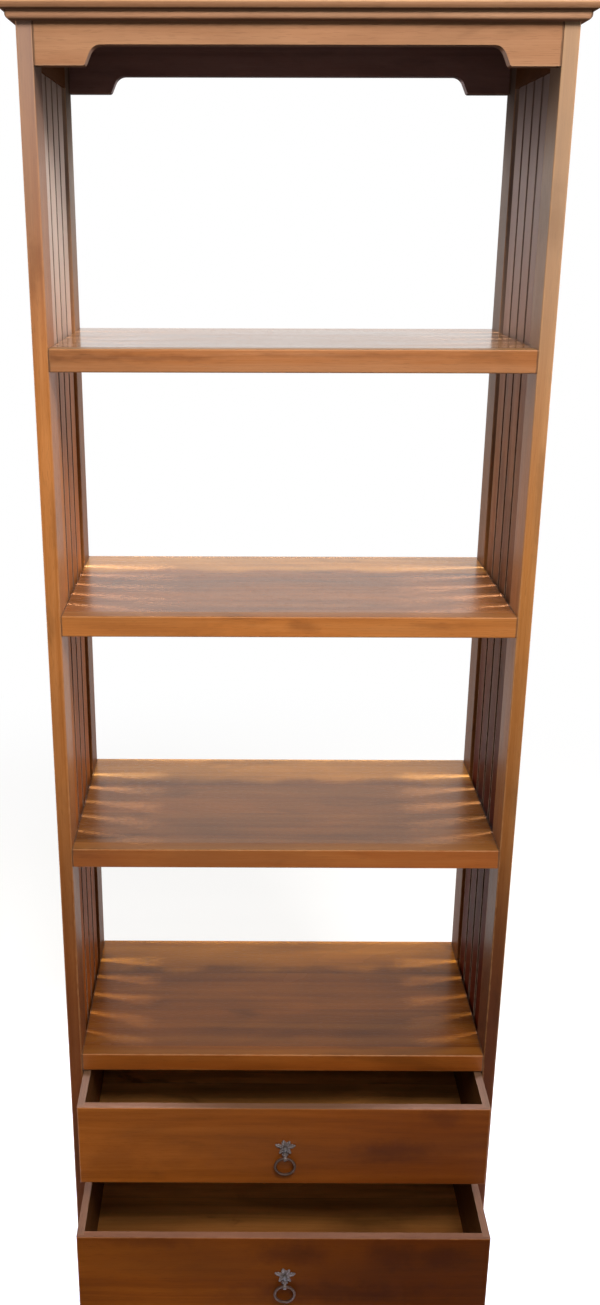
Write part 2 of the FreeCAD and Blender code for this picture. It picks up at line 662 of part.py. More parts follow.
class Drawer:
    """A drawer's pieces; local origin at the bottom middle of the front's outer face."""

    def __init__(self, name, bottom_z, opening):
        self.name = name
        self.y = f"({FRONT_Y} - {opening})"
        self.z = bottom_z

    def body(self, piece):
        return new_body(f"{self.name}_{piece}", y=self.y, z=self.z)

    def pull_body(self, piece):
        """A piece of the pull, placed at the pull's middle on the front's outer face."""
        label = f"{self.name}_pull_{piece}"
        return new_body(label, x="sizes.pull_offset", y=self.y, z=f"{self.z} + {PULL_Z}")

    def make(self):
        self.make_front()
        for side in (LEFT, RIGHT):
            self.make_side(side)
        self.make_back()
        self.make_bottom()
        self.make_pull_plate()
        self.make_pull_bolt()
        self.make_pull_nut()
        self.make_pull_ring()

    def groove_z(self):
        return widened(("sizes.drawer_bottom_rise", DRAWER_BOTTOM_TOP))

    def make_front(self):
        """The front, rabbeted for the sides, grooved for the bottom and bored for the bolt."""
        body = self.body("drawer_front")
        back_y = "sizes.drawer_front_thickness"
        box(body, "Additive", "Front", both_ways(DRAWER_X), ("0", back_y), ("0", FRONT_HEIGHT))
        rim = [{"y": "0", "z": "0"}, {"y": "0", "z": FRONT_HEIGHT}]
        rim += [{"y": "0", "x": DRAWER_X}, {"y": "0", "x": negative(DRAWER_X)}]
        fillet(body, "RoundedRim", "sizes.edge_radius", rim)
        rabbet_y = (f"{back_y} - sizes.drawer_rabbet", back_y)
        for side in (LEFT, RIGHT):
            rabbet_x = outward(side, DRAWER_INNER_X, DRAWER_X)
            box(body, "Subtractive", "Rabbet", rabbet_x, rabbet_y, ("0", FRONT_HEIGHT))
        groove_y = (f"{back_y} - sizes.drawer_groove", back_y)
        box(body, "Subtractive", "Groove", both_ways(DRAWER_INNER_X), groove_y, self.groove_z())
        bolt_hole = "sizes.bolt_diameter + 2 * sizes.joint_fit"
        pull_centre = ("sizes.pull_offset", PULL_Z)
        cylinder(body, "Subtractive", "BoltHole", "y", ("0", back_y), pull_centre, bolt_hole)

    def back_y(self):
        high = f"({DRAWER_DEPTH} - sizes.drawer_back_inset)"
        return f"({high} - sizes.drawer_wall)", high

    def make_side(self, side):
        """A side, grooved for the bottom and with a dado for the back."""
        body = self.body(f"drawer_{SIDE_NAMES[side]}_side")
        side_y = ("(sizes.drawer_front_thickness - sizes.drawer_rabbet)", DRAWER_DEPTH)
        box(body, "Additive", "Side", outward(side, DRAWER_INNER_X, DRAWER_X), side_y, ("0", FRONT_HEIGHT))
        groove_x = outward(side, DRAWER_INNER_X, f"{DRAWER_INNER_X} + sizes.drawer_groove")
        box(body, "Subtractive", "Groove", groove_x, side_y, self.groove_z())
        box(body, "Subtractive", "Dado", groove_x, self.back_y(), (DRAWER_BOTTOM_TOP, FRONT_HEIGHT))

    def make_back(self):
        """The back, which stands on the bottom between the sides' dados."""
        body = self.body("drawer_back")
        back_x = both_ways(f"{DRAWER_INNER_X} + sizes.drawer_groove")
        box(body, "Additive", "Back", back_x, self.back_y(), (DRAWER_BOTTOM_TOP, FRONT_HEIGHT))

    def make_bottom(self):
        """The bottom, slid in from behind, under the back."""
        body = self.body("drawer_bottom")
        bottom_x = both_ways(f"{DRAWER_INNER_X} + sizes.drawer_groove - sizes.joint_fit")
        bottom_y = (
            "sizes.drawer_front_thickness - sizes.drawer_groove + sizes.joint_fit",
            DRAWER_DEPTH,
        )
        box(body, "Additive", "Bottom", bottom_x, bottom_y, ("sizes.drawer_bottom_rise", DRAWER_BOTTOM_TOP))

    def make_pull_plate(self):
        """A cast plate: petals with ball tips about a disc, and a knuckle that holds the ring."""
        body = self.pull_body("plate")
        disc_y = ("-sizes.plate_thickness", "0")
        cylinder(body, "Additive", "Disc", "y", disc_y, ("0", "0"), "sizes.plate_disc_diameter")
        petals = [(angle, "sizes.upper_petal_reach") for angle in UPPER_PETAL_ANGLES]
        petals += [(angle, "sizes.lower_petal_reach") for angle in LOWER_PETAL_ANGLES]
        for angle, reach in petals:
            stem = body.newObject("PartDesign::AdditiveCylinder", "PetalStem")
            stem.Placement = Placement(Vector(), Rotation(Vector(0, 1, 0), 90 - angle))
            bind(stem, {"Radius": "sizes.petal_stem_diameter / 2", "Height": reach})
            tip = body.newObject("PartDesign::AdditiveSphere", "PetalTip")
            bind(tip, {
                "Radius": "sizes.petal_tip_diameter / 2",
                "Placement.Base.x": f"{reach} * {math.cos(math.radians(angle)):.6f}",
                "Placement.Base.z": f"{reach} * {math.sin(math.radians(angle)):.6f}",
            })
        knuckle_x = both_ways("sizes.knuckle_width / 2")
        eye = (EYE_Y, "-sizes.knuckle_drop")
        cylinder(body, "Additive", "Knuckle", "x", knuckle_x, eye, KNUCKLE_DIAMETER)
        rib_z = (f"-sizes.knuckle_drop + {EYE_DIAMETER} / 2", "0")
        box(body, "Additive", "Rib", both_ways("sizes.rib_width / 2"), ("-sizes.rib_thickness", "0"), rib_z)
        all_round = f"(sizes.knuckle_drop + {KNUCKLE_DIAMETER})"
        box(body, "Subtractive", "FlatBack", both_ways(all_round), ("0", all_round), both_ways(all_round))
        cylinder(body, "Subtractive", "RingEye", "x", knuckle_x, eye, EYE_DIAMETER)
        bolt_hole = "sizes.bolt_diameter + 2 * sizes.joint_fit"
        through_y = (f"-{all_round}", "0")
        cylinder(body, "Subtractive", "BoltHole", "y", through_y, ("0", "0"), bolt_hole)
        seat_y = (f"-{all_round}", "-sizes.plate_thickness")
        seat = "sizes.bolt_head_diameter + 2 * sizes.joint_fit"
        cylinder(body, "Subtractive", "HeadSeat", "y", seat_y, ("0", "0"), seat)

    def make_pull_bolt(self):
        """A domed bolt through the plate and the drawer front."""
        body = self.pull_body("bolt")
        head_front = "-(sizes.plate_thickness + sizes.bolt_head_height)"
        head_y = (head_front, "-sizes.plate_thickness")
        cylinder(body, "Additive", "Head", "y", head_y, ("0", "0"), "sizes.bolt_head_diameter")
        fillet(body, "Dome", "sizes.bolt_head_dome", [{"y": head_front}])
        shank_y = (
            "-sizes.plate_thickness",
            "sizes.drawer_front_thickness + sizes.nut_thickness + sizes.bolt_end_length",
        )
        cylinder(body, "Additive", "Shank", "y", shank_y, ("0", "0"), "sizes.bolt_diameter")

    def make_pull_nut(self):
        """The hexagon nut inside the drawer."""
        body = self.pull_body("nut")
        nut = body.newObject("PartDesign::AdditivePrism", "Hexagon")
        nut.Polygon = 6
        nut.Placement = Placement(Vector(), TURN_Z_TO["y"])
        bind(nut, {
            "Circumradius": "sizes.nut_across_flats / 2 / cos(30 deg)",
            "Height": "sizes.nut_thickness",
            "Placement.Base.y": "sizes.drawer_front_thickness",
        })
        nut_y = ("sizes.drawer_front_thickness", "sizes.drawer_front_thickness + sizes.nut_thickness")
        bore = "sizes.bolt_diameter + 2 * sizes.joint_fit"
        cylinder(body, "Subtractive", "Bore", "y", nut_y, ("0", "0"), bore)

    def make_pull_ring(self):
        """The round ring that hangs in the plate's eye."""
        ring = doc.addObject("Part::Torus", f"{self.name}_pull_ring")
        ring.Label = f"{self.name}_pull_ring"
        ring.Placement = Placement(Vector(), Rotation(Vector(1, 0, 0), 90))
        bind(ring, {
            "Radius1": "sizes.ring_radius",
            "Radius2": "sizes.ring_wire_diameter / 2",
            "Placement.Base.x": "sizes.pull_offset",
            "Placement.Base.y": f"{MIDDLE_Y} + {self.y} + {EYE_Y}",
            "Placement.Base.z": f"{self.z} + {PULL_Z} - sizes.knuckle_drop - sizes.ring_radius",
        })
        sub_parts.append(ring)


# ---------------------------------------------------------------- the whole bookcase

def check_document():
    """Stops if any object has failed or any sub-part has no valid shape."""
    for item in doc.Objects:
        if "Invalid" in item.State or "Error" in item.State:
            raise RuntimeError(f"{item.Label} failed: {item.State}")
    for part in sub_parts:
        if part.Shape.isNull() or not part.Shape.isValid():
            raise RuntimeError(f"{part.Label} has no valid shape")


def export_parts():
    os.makedirs("parts", exist_ok=True)
    for part in sub_parts:
        part.Shape.exportStep(f"parts/{part.Label}.step")


for side in (LEFT, RIGHT):
    make_side_frame(side)
make_top_board()
make_cornice()
for end in (FRONT, BACK):
    make_apron(end)
for number in SHELF_NUMBERS:
    make_shelf(number)
make_front_rail("bottom_front_rail", "sizes.foot_height", "sizes.bottom_rail_height")
make_front_rail("drawer_divider_rail", DIVIDER_Z, "sizes.divider_height")
make_back_panel()
for side in (LEFT, RIGHT):
    for name, (low, high) in RUNNERS.items():
        make_runner(side, name, low, high)
make_stops()
make_dowels()
make_screws()
Drawer("lower", LOWER_DRAWER_Z, "sizes.lower_opening").make()
Drawer("upper", UPPER_DRAWER_Z, "sizes.upper_opening").make()
doc.recompute()
check_document()
export_parts()
print(f"{len(sub_parts)} sub-parts written")
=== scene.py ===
"""Looks of the bookcase with bottom drawers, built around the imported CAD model.

Metres, Z up, the open front and the drawers face -Y. Wood grain, varnish, iron, floor and light are
all procedural; the drawer pulls' cast plates are modelled here in finer detail than in CAD.
"""

import json
import math
import zlib
from dataclasses import dataclass, replace

import bmesh
import bpy
from mathutils import Matrix, Vector


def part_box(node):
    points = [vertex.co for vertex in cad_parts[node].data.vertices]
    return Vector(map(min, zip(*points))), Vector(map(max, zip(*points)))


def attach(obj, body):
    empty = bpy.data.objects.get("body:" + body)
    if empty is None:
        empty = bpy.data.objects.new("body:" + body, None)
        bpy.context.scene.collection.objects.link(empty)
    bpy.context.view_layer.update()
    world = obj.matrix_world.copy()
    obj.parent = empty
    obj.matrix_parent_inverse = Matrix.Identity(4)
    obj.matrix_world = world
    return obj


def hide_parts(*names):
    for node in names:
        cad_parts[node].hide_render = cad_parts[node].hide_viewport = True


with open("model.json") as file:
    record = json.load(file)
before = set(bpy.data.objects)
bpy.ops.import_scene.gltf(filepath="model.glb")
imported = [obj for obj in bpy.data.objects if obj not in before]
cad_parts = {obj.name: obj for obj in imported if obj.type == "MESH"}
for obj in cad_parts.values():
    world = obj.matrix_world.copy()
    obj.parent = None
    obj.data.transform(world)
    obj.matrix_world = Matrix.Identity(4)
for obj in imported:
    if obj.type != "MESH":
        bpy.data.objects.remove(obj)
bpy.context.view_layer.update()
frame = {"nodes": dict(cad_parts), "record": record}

SLOT_OF = {row["node"]: row["material_slot"] for row in frame["record"]["subparts"]}
MM = 0.001

# ---------------------------------------------------------------- camera

# Solved from the straight edges in the photo: pixels, metres and radians.
PHOTO_WIDTH, PHOTO_HEIGHT = 600, 1305
FOCAL_LENGTH_PX = 1239.7
OPTICAL_CENTRE_PX = (242.6, 649.1)
CAMERA_PLACE = (-0.0583, -1.7114, 1.6563)
CAMERA_DOWN, CAMERA_YAW, CAMERA_ROLL = 0.3330, -0.0035, 0.0021
SENSOR = 36.0  # millimetres


def make_camera():
    """A camera where the photographer stood; its small shift stands for the photo's crop."""
    data = bpy.data.cameras.new("photo_camera")
    data.sensor_width = SENSOR
    data.lens = FOCAL_LENGTH_PX / PHOTO_HEIGHT * SENSOR
    data.shift_x = (PHOTO_WIDTH / 2 - OPTICAL_CENTRE_PX[0]) / PHOTO_HEIGHT
    data.shift_y = (OPTICAL_CENTRE_PX[1] - PHOTO_HEIGHT / 2) / PHOTO_HEIGHT
    ahead = Vector((
        math.sin(CAMERA_YAW) * math.cos(CAMERA_DOWN),
        math.cos(CAMERA_YAW) * math.cos(CAMERA_DOWN),
        -math.sin(CAMERA_DOWN),
    ))
    right = Vector((math.cos(CAMERA_YAW), -math.sin(CAMERA_YAW), 0))
    rolled = Matrix.Rotation(-CAMERA_ROLL, 3, ahead) @ right
    up = rolled.cross(ahead)
    camera = bpy.data.objects.new("photo_camera", data)
    turn = Matrix((rolled, up, -ahead)).transposed().to_4x4()
    camera.matrix_world = Matrix.Translation(CAMERA_PLACE) @ turn
    bpy.context.scene.collection.objects.link(camera)
    bpy.context.scene.camera = camera


# ---------------------------------------------------------------- node helpers

# A Mix node's sockets when it mixes colours.
MIX_FACTOR, MIX_FIRST, MIX_SECOND, MIX_RESULT = 0, 6, 7, 2
WHITE = (1, 1, 1, 1)


class Tree:
    """A node tree with short calls that add nodes and link them."""

    def __init__(self, tree):
        self.tree = tree

    def add(self, kind, inputs=None, **settings):
        """Adds a shader node. An input is a socket to link or a value to set."""
        node = self.tree.nodes.new("ShaderNode" + kind)
        for name, setting in settings.items():
            setattr(node, name, setting)
        for key, entry in (inputs or {}).items():
            self.feed(node.inputs[key], entry)
        return node

    def feed(self, socket, entry):
        """Links a socket to an input, or sets the input's value."""
        if isinstance(entry, bpy.types.NodeSocket):
            self.tree.links.new(entry, socket)
        else:
            socket.default_value = entry

    def maths(self, operation, *values, clamp=False):
        """The result of a sum with numbers."""
        node = self.add("Math", dict(enumerate(values)), operation=operation, use_clamp=clamp)
        return node.outputs[0]

    def vector(self, operation, *values):
        """The result of a sum with vectors."""
        node = self.add("VectorMath", dict(enumerate(values)), operation=operation)
        return node.outputs["Value" if operation == "LENGTH" else "Vector"]

    def noise(self, place, scale, detail=2.0, roughness=0.5, distortion=0.0):
        """A noise node, with a value and a colour as outputs."""
        inputs = {
            "Vector": place, "Scale": scale, "Detail": detail,
            "Roughness": roughness, "Distortion": distortion,
        }
        return self.add("TexNoise", inputs)

    def ramp(self, value, low, high, to_low=0.0, to_high=1.0, smooth=True):
        """Maps low..high of a value to to_low..to_high, held at both ends."""
        inputs = {"Value": value, "From Min": low, "From Max": high, "To Min": to_low, "To Max": to_high}
        kind = "SMOOTHSTEP" if smooth else "LINEAR"
        return self.add("MapRange", inputs, interpolation_type=kind, clamp=True).outputs[0]

    def blend(self, factor, first, second, kind="MIX"):
        """Mixes two colours."""
        node = self.add("Mix", data_type="RGBA", blend_type=kind, clamp_factor=True)
        self.feed(node.inputs[MIX_FACTOR], factor)
        self.feed(node.inputs[MIX_FIRST], colour(first))
        self.feed(node.inputs[MIX_SECOND], colour(second))
        return node.outputs[MIX_RESULT]

    def grey(self, value):
        """A grey colour of one value."""
        return self.add("CombineXYZ", {0: value, 1: value, 2: value}).outputs[0]


def colour(entry):
    """A colour of three parts gets its alpha; a socket stays."""
    if isinstance(entry, bpy.types.NodeSocket):
        return entry
    return (*entry, 1.0)


def new_group(name, inputs, outputs):
    """An empty node group with its sockets. Returns its tree, its input node and its output node."""
    group = bpy.data.node_groups.new(name, "ShaderNodeTree")
    for in_out, sockets in (("INPUT", inputs), ("OUTPUT", outputs)):
        for socket_name, kind in sockets.items():
            group.interface.new_socket(socket_name, in_out=in_out, socket_type="NodeSocket" + kind)
    tree = Tree(group)
    entry = group.nodes.new("NodeGroupInput")
    leave = group.nodes.new("NodeGroupOutput")
    return tree, entry.outputs, leave.inputs


def new_material(name):
    """An empty material. Returns it, its tree and its output's surface socket."""
    material = bpy.data.materials.new(name)
    material.use_nodes = True
    material.node_tree.nodes.clear()
    tree = Tree(material.node_tree)
    surface = tree.add("OutputMaterial").inputs["Surface"]
    return material, tree, surface


# ---------------------------------------------------------------- wood

# How dense each kind of figure is, along the grain and in the two directions across it.
GRAIN_SCALES = {
    "bend": (1.1, 5.0, 5.0),
    "streak": (2.4, 60.0, 60.0),
    "fibre": (14.0, 620.0, 620.0),
    "pore": (70.0, 1300.0, 1300.0),
    "blotch": (3.2, 11.0, 11.0),
    "patch": (4.5, 13.0, 13.0),
}
BEND_REACH = (0.0, 0.045, 0.045)
# The noise values between which a figure goes from none to full, and what each gives to tone and relief.
RING_EDGES, STREAK_EDGES = (0.34, 0.66), (0.3, 0.7)
PORE_EDGES, PATCH_EDGES = (0.64, 0.74), (0.55, 0.72)
RING_SHARE, STREAK_SHARE, FIBRE_SHARE = 0.42, 0.30, 0.56
PORE_SHADE, PORE_DULL = 0.14, 0.6
RING_HEIGHT, FIBRE_HEIGHT, PORE_HEIGHT = 0.15, 0.5, -0.7


def make_wood_group():
    """Sawn wood: rings about a pith, wandering streaks, fibre, pores and an uneven stain.

    Place and Seed are in grain space, in which X runs along the fibres.
    """
    t, given, made = new_group(
        "sawn_wood",
        {
            "Place": "Vector", "Seed": "Vector", "Pith": "Vector", "Rings": "Float",
            "Dark": "Color", "Mid": "Color", "Light": "Color", "Figure": "Float", "Blotch": "Float",
            "Stain": "Float",
        },
        {"Color": "Color", "Height": "Float", "Dull": "Float"},
    )
    seeded = t.vector("ADD", given["Place"], given["Seed"])

    def figure_noise(kind, **settings):
        """The noise that one kind of figure is made from."""
        return t.noise(t.vector("MULTIPLY", seeded, GRAIN_SCALES[kind]), 1.0, **settings).outputs

    wander = figure_noise("bend", detail=2.0)["Color"]
    bend = t.vector("MULTIPLY", t.vector("SUBTRACT", wander, (0.5, 0.5, 0.5)), BEND_REACH)
    from_pith = t.vector("SUBTRACT", t.vector("ADD", given["Place"], bend), given["Pith"])
    radius = t.vector("LENGTH", t.vector("MULTIPLY", from_pith, (0.0, 1.0, 1.0)))
    seed_along = t.add("SeparateXYZ", {0: given["Seed"]}).outputs[0]
    ring_place = t.maths("MULTIPLY_ADD", radius, given["Rings"], seed_along)
    ring_inputs = {"W": ring_place, "Scale": 1.0, "Detail": 3.0, "Roughness": 0.6}
    ring = t.ramp(t.add("TexNoise", ring_inputs, noise_dimensions="1D").outputs[0], *RING_EDGES)

    streak = t.ramp(figure_noise("streak", detail=3.0, roughness=0.6)[0], *STREAK_EDGES)
    fibre = figure_noise("fibre", detail=2.0)[0]
    pore = t.ramp(figure_noise("pore", detail=0.0)[0], *PORE_EDGES)
    blotch = figure_noise("blotch", detail=3.0, distortion=0.6)[0]

    figure = t.maths("MULTIPLY_ADD", ring, RING_SHARE, t.maths("MULTIPLY", streak, STREAK_SHARE))
    figure = t.maths("MULTIPLY_ADD", fibre, FIBRE_SHARE, figure)
    figure = t.maths("SUBTRACT", figure, 0.5)
    figure = t.maths("MULTIPLY", figure, given["Figure"])
    lower = t.ramp(figure, -0.5, 0.0, smooth=False)
    upper = t.ramp(figure, 0.0, 0.5, smooth=False)
    stained = t.blend(lower, given["Dark"], given["Mid"])
    stained = t.blend(upper, stained, given["Light"])
    uneven = t.maths("MULTIPLY_ADD", t.maths("SUBTRACT", blotch, 0.5), given["Blotch"], 1.0)
    shade = t.maths("MULTIPLY", uneven, t.maths("MULTIPLY_ADD", pore, -PORE_SHADE, 1.0))
    patch = t.ramp(figure_noise("patch", detail=4.0, roughness=0.6, distortion=0.8)[0], *PATCH_EDGES)
    patched = t.maths("SUBTRACT", 1.0, t.maths("MULTIPLY", patch, given["Stain"]))
    shade = t.maths("MULTIPLY", shade, patched)
    t.feed(made["Color"], t.blend(1.0, stained, t.grey(shade), kind="MULTIPLY"))
    height = t.maths("MULTIPLY_ADD", fibre, FIBRE_HEIGHT, t.maths("MULTIPLY", pore, PORE_HEIGHT))
    t.feed(made["Height"], t.maths("MULTIPLY_ADD", ring, RING_HEIGHT, height))
    t.feed(made["Dull"], t.maths("MULTIPLY_ADD", pore, PORE_DULL, blotch))
    return t.tree


def make_edge_group():
    """How far a point of a box-shaped piece's surface is from the nearest edge of the box."""
    t, given, made = new_group(
        "edge_distance", {"Place": "Vector", "Low": "Vector", "High": "Vector"}, {"Distance": "Float"}
    )
    from_low = t.vector("SUBTRACT", given["Place"], given["Low"])
    from_high = t.vector("SUBTRACT", given["High"], given["Place"])
    nearest = t.add("SeparateXYZ", {0: t.vector("MINIMUM", from_low, from_high)}).outputs
    lesser = t.maths("MINIMUM", nearest[0], nearest[1])
    greater = t.maths("MAXIMUM", nearest[0], nearest[1])
    t.feed(made["Distance"], t.maths("MAXIMUM", lesser, t.maths("MINIMUM", greater, nearest[2])))
    return t.tree


@dataclass
class Wood:
    """A wood's three tones from dark to light, and how it is finished."""
    dark: tuple
    mid: tuple
    light: tuple
    worn: tuple
    rings: float = 55.0
    figure: float = 0.8
    blotch: float = 0.8
    stain: float = 0.25
    wear: float = 0.35
    roughness: float = 0.36
    specular: float = 0.5
    bump: float = 0.25


WOODS = {
    "stile_wood": Wood(
        (0.31, 0.100, 0.020), (0.47, 0.170, 0.040), (0.58, 0.25, 0.080), (0.60, 0.31, 0.14),
        roughness=0.42, specular=0.12,
    ),
    "slat_wood": Wood(
        (0.27, 0.085, 0.024), (0.46, 0.165, 0.052), (0.60, 0.27, 0.110), (0.80, 0.58, 0.42),
        stain=0.35, wear=0.5, roughness=0.5, specular=0.03,
    ),
    "cornice_wood": Wood(
        (0.25, 0.110, 0.052), (0.375, 0.180, 0.092), (0.45, 0.235, 0.125), (0.48, 0.28, 0.17),
        roughness=0.45, specular=0.05,
    ),
    "shelf_wood": Wood(
        (0.13, 0.042, 0.010), (0.25, 0.090, 0.024), (0.36, 0.150, 0.050), (0.45, 0.24, 0.11),
        figure=0.62, blotch=1.2, stain=0.30, roughness=0.24,
    ),
    "shelf_edge_wood": Wood(
        (0.26, 0.068, 0.010), (0.43, 0.130, 0.020), (0.53, 0.20, 0.045), (0.52, 0.25, 0.10), specular=0.22,
    ),
    "drawer_front_wood": Wood(
        (0.15, 0.040, 0.004), (0.27, 0.076, 0.009), (0.35, 0.11, 0.018), (0.42, 0.18, 0.06),
        figure=0.75, blotch=1.1, stain=0.15, roughness=0.42, specular=0.08,
    ),
    "drawer_box_wood": Wood(
        (0.20, 0.085, 0.028), (0.38, 0.170, 0.055), (0.54, 0.25, 0.10), (0.50, 0.28, 0.12),
        blotch=1.2, stain=0.5, roughness=0.5, specular=0.1,
    ),
    "case_wood": Wood(
        (0.030, 0.014, 0.006), (0.065, 0.030, 0.012), (0.11, 0.055, 0.024), (0.15, 0.08, 0.04),
        roughness=0.55, specular=0.15,
    ),
    "dowel_wood": Wood(
        (0.40, 0.25, 0.13), (0.55, 0.38, 0.22), (0.66, 0.50, 0.32), (0.7, 0.55, 0.38), roughness=0.6,
    ),
}
# Where single pieces differ from their wood. The shelves are numbered from the lowest.
OVERRIDES = {
    "shelf_1_board": {"specular": 0.25, "wear": 0.0},
    "shelf_2_board": {"specular": 0.4, "wear": 0.0},
    "shelf_3_board": {"wear": 0.0},
    "shelf_4_board": {"roughness": 0.17, "specular": 0.8, "wear": 0.0},
    "left_top_rail": {"specular": 0.03, "wear": 0.0},
    "right_top_rail": {"specular": 0.03, "wear": 0.0},
    "left_back_stile": {"specular": 0.05},
    "right_back_stile": {"specular": 0.05},
    "lower_drawer_front": {"specular": 0.03},
    "upper_drawer_bottom": {"blotch": 2.0, "stain": 0.75},
    "lower_drawer_bottom": {"blotch": 2.0, "stain": 0.75},
}
PLAIN = (1.0, 1.0, 1.0)
# What single pieces' tones are multiplied by. Some are painted shade: the lower shelves, the low rails, the
# side top rails and the back apron are darkened for the shade they sit in. The paler, bluer tints of the
# upper shelf rails, the top shelf's board and the cornice front are painted sheen.
TINTS = {
    "shelf_1_board": (0.62, 0.49, 0.16), "shelf_1_front_rail": (0.74, 0.64, 0.55),
    "shelf_2_board": (0.76, 0.73, 0.54), "shelf_2_front_rail": (0.80, 0.72, 0.70),
    "shelf_3_front_rail": (1.24, 1.40, 1.95),
    "shelf_4_board": (0.88, 1.08, 1.35), "shelf_4_front_rail": (0.94, 1.12, 2.20),
    "cornice_front": (1.16, 1.24, 1.36), "back_apron": (0.56, 0.69, 1.28),
    "left_top_rail": (0.55, 0.50, 0.48), "right_top_rail": (0.42, 0.38, 0.38),
    "left_bottom_rail": (0.40, 0.31, 0.24), "right_bottom_rail": (0.30, 0.20, 0.14),
    "bottom_front_rail": (0.60, 0.52, 0.42), "drawer_divider_rail": (0.66, 0.58, 0.48),
    "upper_drawer_bottom": (1.15, 1.2, 1.0), "lower_drawer_bottom": (1.10, 1.05, 0.82),
    "upper_drawer_back": (1.1, 1.1, 0.95), "lower_drawer_back": (1.1, 1.1, 0.95),
    "upper_drawer_left_side": (0.5, 0.46, 0.42), "upper_drawer_right_side": (0.4, 0.36, 0.32),
    "lower_drawer_left_side": (0.5, 0.46, 0.42), "lower_drawer_right_side": (0.4, 0.36, 0.32),
}


@dataclass
class Drift:
    """A tint that changes evenly along one axis, from one tint at a place to another farther on."""
    axis: int
    places: tuple
    tints: tuple


ALONG_X, ALONG_Y, ALONG_Z = 0, 1, 2
# On the stiles and slats these are painted light and shade: darker low down, paler and greyer high up. The
# drawer bottoms grow lighter towards the back, and the drawer fronts darker towards +X.
DRIFTS = {
    "left_front_stile": Drift(ALONG_Z, (0.49, 1.08), ((0.36, 0.26, 0.20), (1.14, 1.10, 1.10))),
    "right_front_stile": Drift(ALONG_Z, (0.45, 1.20), ((0.21, 0.13, 0.09), (0.92, 0.98, 1.05))),
    "left_back_stile": Drift(ALONG_Z, (0.5, 1.4), ((0.30, 0.24, 0.20), (0.62, 0.60, 0.60))),
    "right_back_stile": Drift(ALONG_Z, (0.5, 1.4), ((0.30, 0.24, 0.20), (0.46, 0.50, 0.60))),
    "left_slat": Drift(ALONG_Z, (0.6, 1.25), ((0.74, 0.49, 0.165), (1.26, 1.24, 1.14))),
    "right_slat": Drift(ALONG_Z, (0.75, 1.54), ((0.18, 0.046, 0.009), (0.88, 1.03, 1.27))),
    "upper_drawer_bottom": Drift(ALONG_Y, (-0.04, 0.08), ((0.60, 0.50, 0.41), (1.45, 1.45, 1.38))),
    "lower_drawer_bottom": Drift(ALONG_Y, (-0.11, 0.02), ((0.70, 0.60, 0.51), (1.40, 1.46, 1.42))),
    "upper_drawer_front": Drift(ALONG_X, (-0.25, 0.25), ((1.27, 1.22, 1.08), (0.67, 0.54, 0.36))),
    "lower_drawer_front": Drift(ALONG_X, (-0.25, 0.25), ((0.82, 0.71, 0.42), (0.33, 0.235, 0.07))),
}


@dataclass
class PaintedSheen:
    """A painted sheen, pale and grey towards the top: its colour, the heights it grows over and how much."""
    tone: tuple
    heights: tuple
    amount: float


# Painted sheen inside the sides: the glare of bright light from behind, high up.
PAINTED_SHEENS = {
    "left_front_stile": PaintedSheen((0.21, 0.20, 0.195), (1.40, 1.86), 0.62),
    "right_front_stile": PaintedSheen((0.42, 0.32, 0.225), (1.20, 1.70), 0.55),
    "left_back_stile": PaintedSheen((0.52, 0.42, 0.33), (1.40, 1.75), 0.80),
    "right_back_stile": PaintedSheen((0.46, 0.38, 0.30), (1.15, 1.60), 0.60),
    "left_slat": PaintedSheen((0.74, 0.66, 0.66), (1.30, 1.66), 0.82),
    "right_slat": PaintedSheen((0.64, 0.49, 0.41), (1.30, 1.70), 0.75),
}
# The outward faces of the sides drift less: to this tint, and by this much.
OUTER_TINTS = {
    "left_slat": ((0.62, 0.54, 0.48), 0.8), "right_slat": ((0.60, 0.52, 0.46), 0.85),
    "left_front_stile": ((0.78, 0.74, 0.72), 0.5), "right_front_stile": ((0.78, 0.74, 0.72), 0.6),
    "left_back_stile": ((0.62, 0.58, 0.55), 0.5), "right_back_stile": ((0.62, 0.58, 0.55), 0.5),
}


@dataclass
class Spot:
    """A dark stain or knot on a front face: its middle, its half sizes along X and Z, and how dark it is."""
    middle: tuple
    half: tuple
    depth: float


SPOT_TINT = (0.12, 0.02, 0.0)
SPOT_RAGGED, SPOT_RAGGED_SCALE = 2.2, 30.0
SPOT_EDGES = (0.2, 1.5)
SPOTS = {
    "upper_drawer_front": (
        Spot((0.165, 0.310), (0.055, 0.020), 0.40),
        Spot((0.245, 0.372), (0.030, 0.018), 0.35),
        Spot((-0.255, 0.290), (0.040, 0.030), 0.20),
    ),
    "lower_drawer_front": (
        Spot((0.015, 0.172), (0.050, 0.024), 0.42),
        Spot((0.165, 0.172), (0.042, 0.026), 0.42),
        Spot((0.242, 0.168), (0.035, 0.020), 0.38),
        Spot((0.080, 0.100), (0.140, 0.020), 0.42),
        Spot((-0.200, 0.195), (0.060, 0.012), 0.25),
    ),
    "left_front_stile": (
        Spot((-0.326, 1.600), (0.009, 0.036), 0.26),
        Spot((-0.318, 1.270), (0.004, 0.050), 0.20),
    ),
    "right_front_stile": (
        Spot((0.324, 1.660), (0.014, 0.040), 0.18),
        Spot((0.330, 1.300), (0.006, 0.080), 0.22),
    ),
    "shelf_3_front_rail": (
        Spot((0.020, 1.126), (0.020, 0.009), 0.30),
        Spot((0.210, 1.128), (0.040, 0.005), 0.26),
    ),
    "shelf_4_front_rail": (
        Spot((-0.200, 1.489), (0.120, 0.004), 0.30),
        Spot((0.080, 1.492), (0.160, 0.003), 0.22),
    ),
}

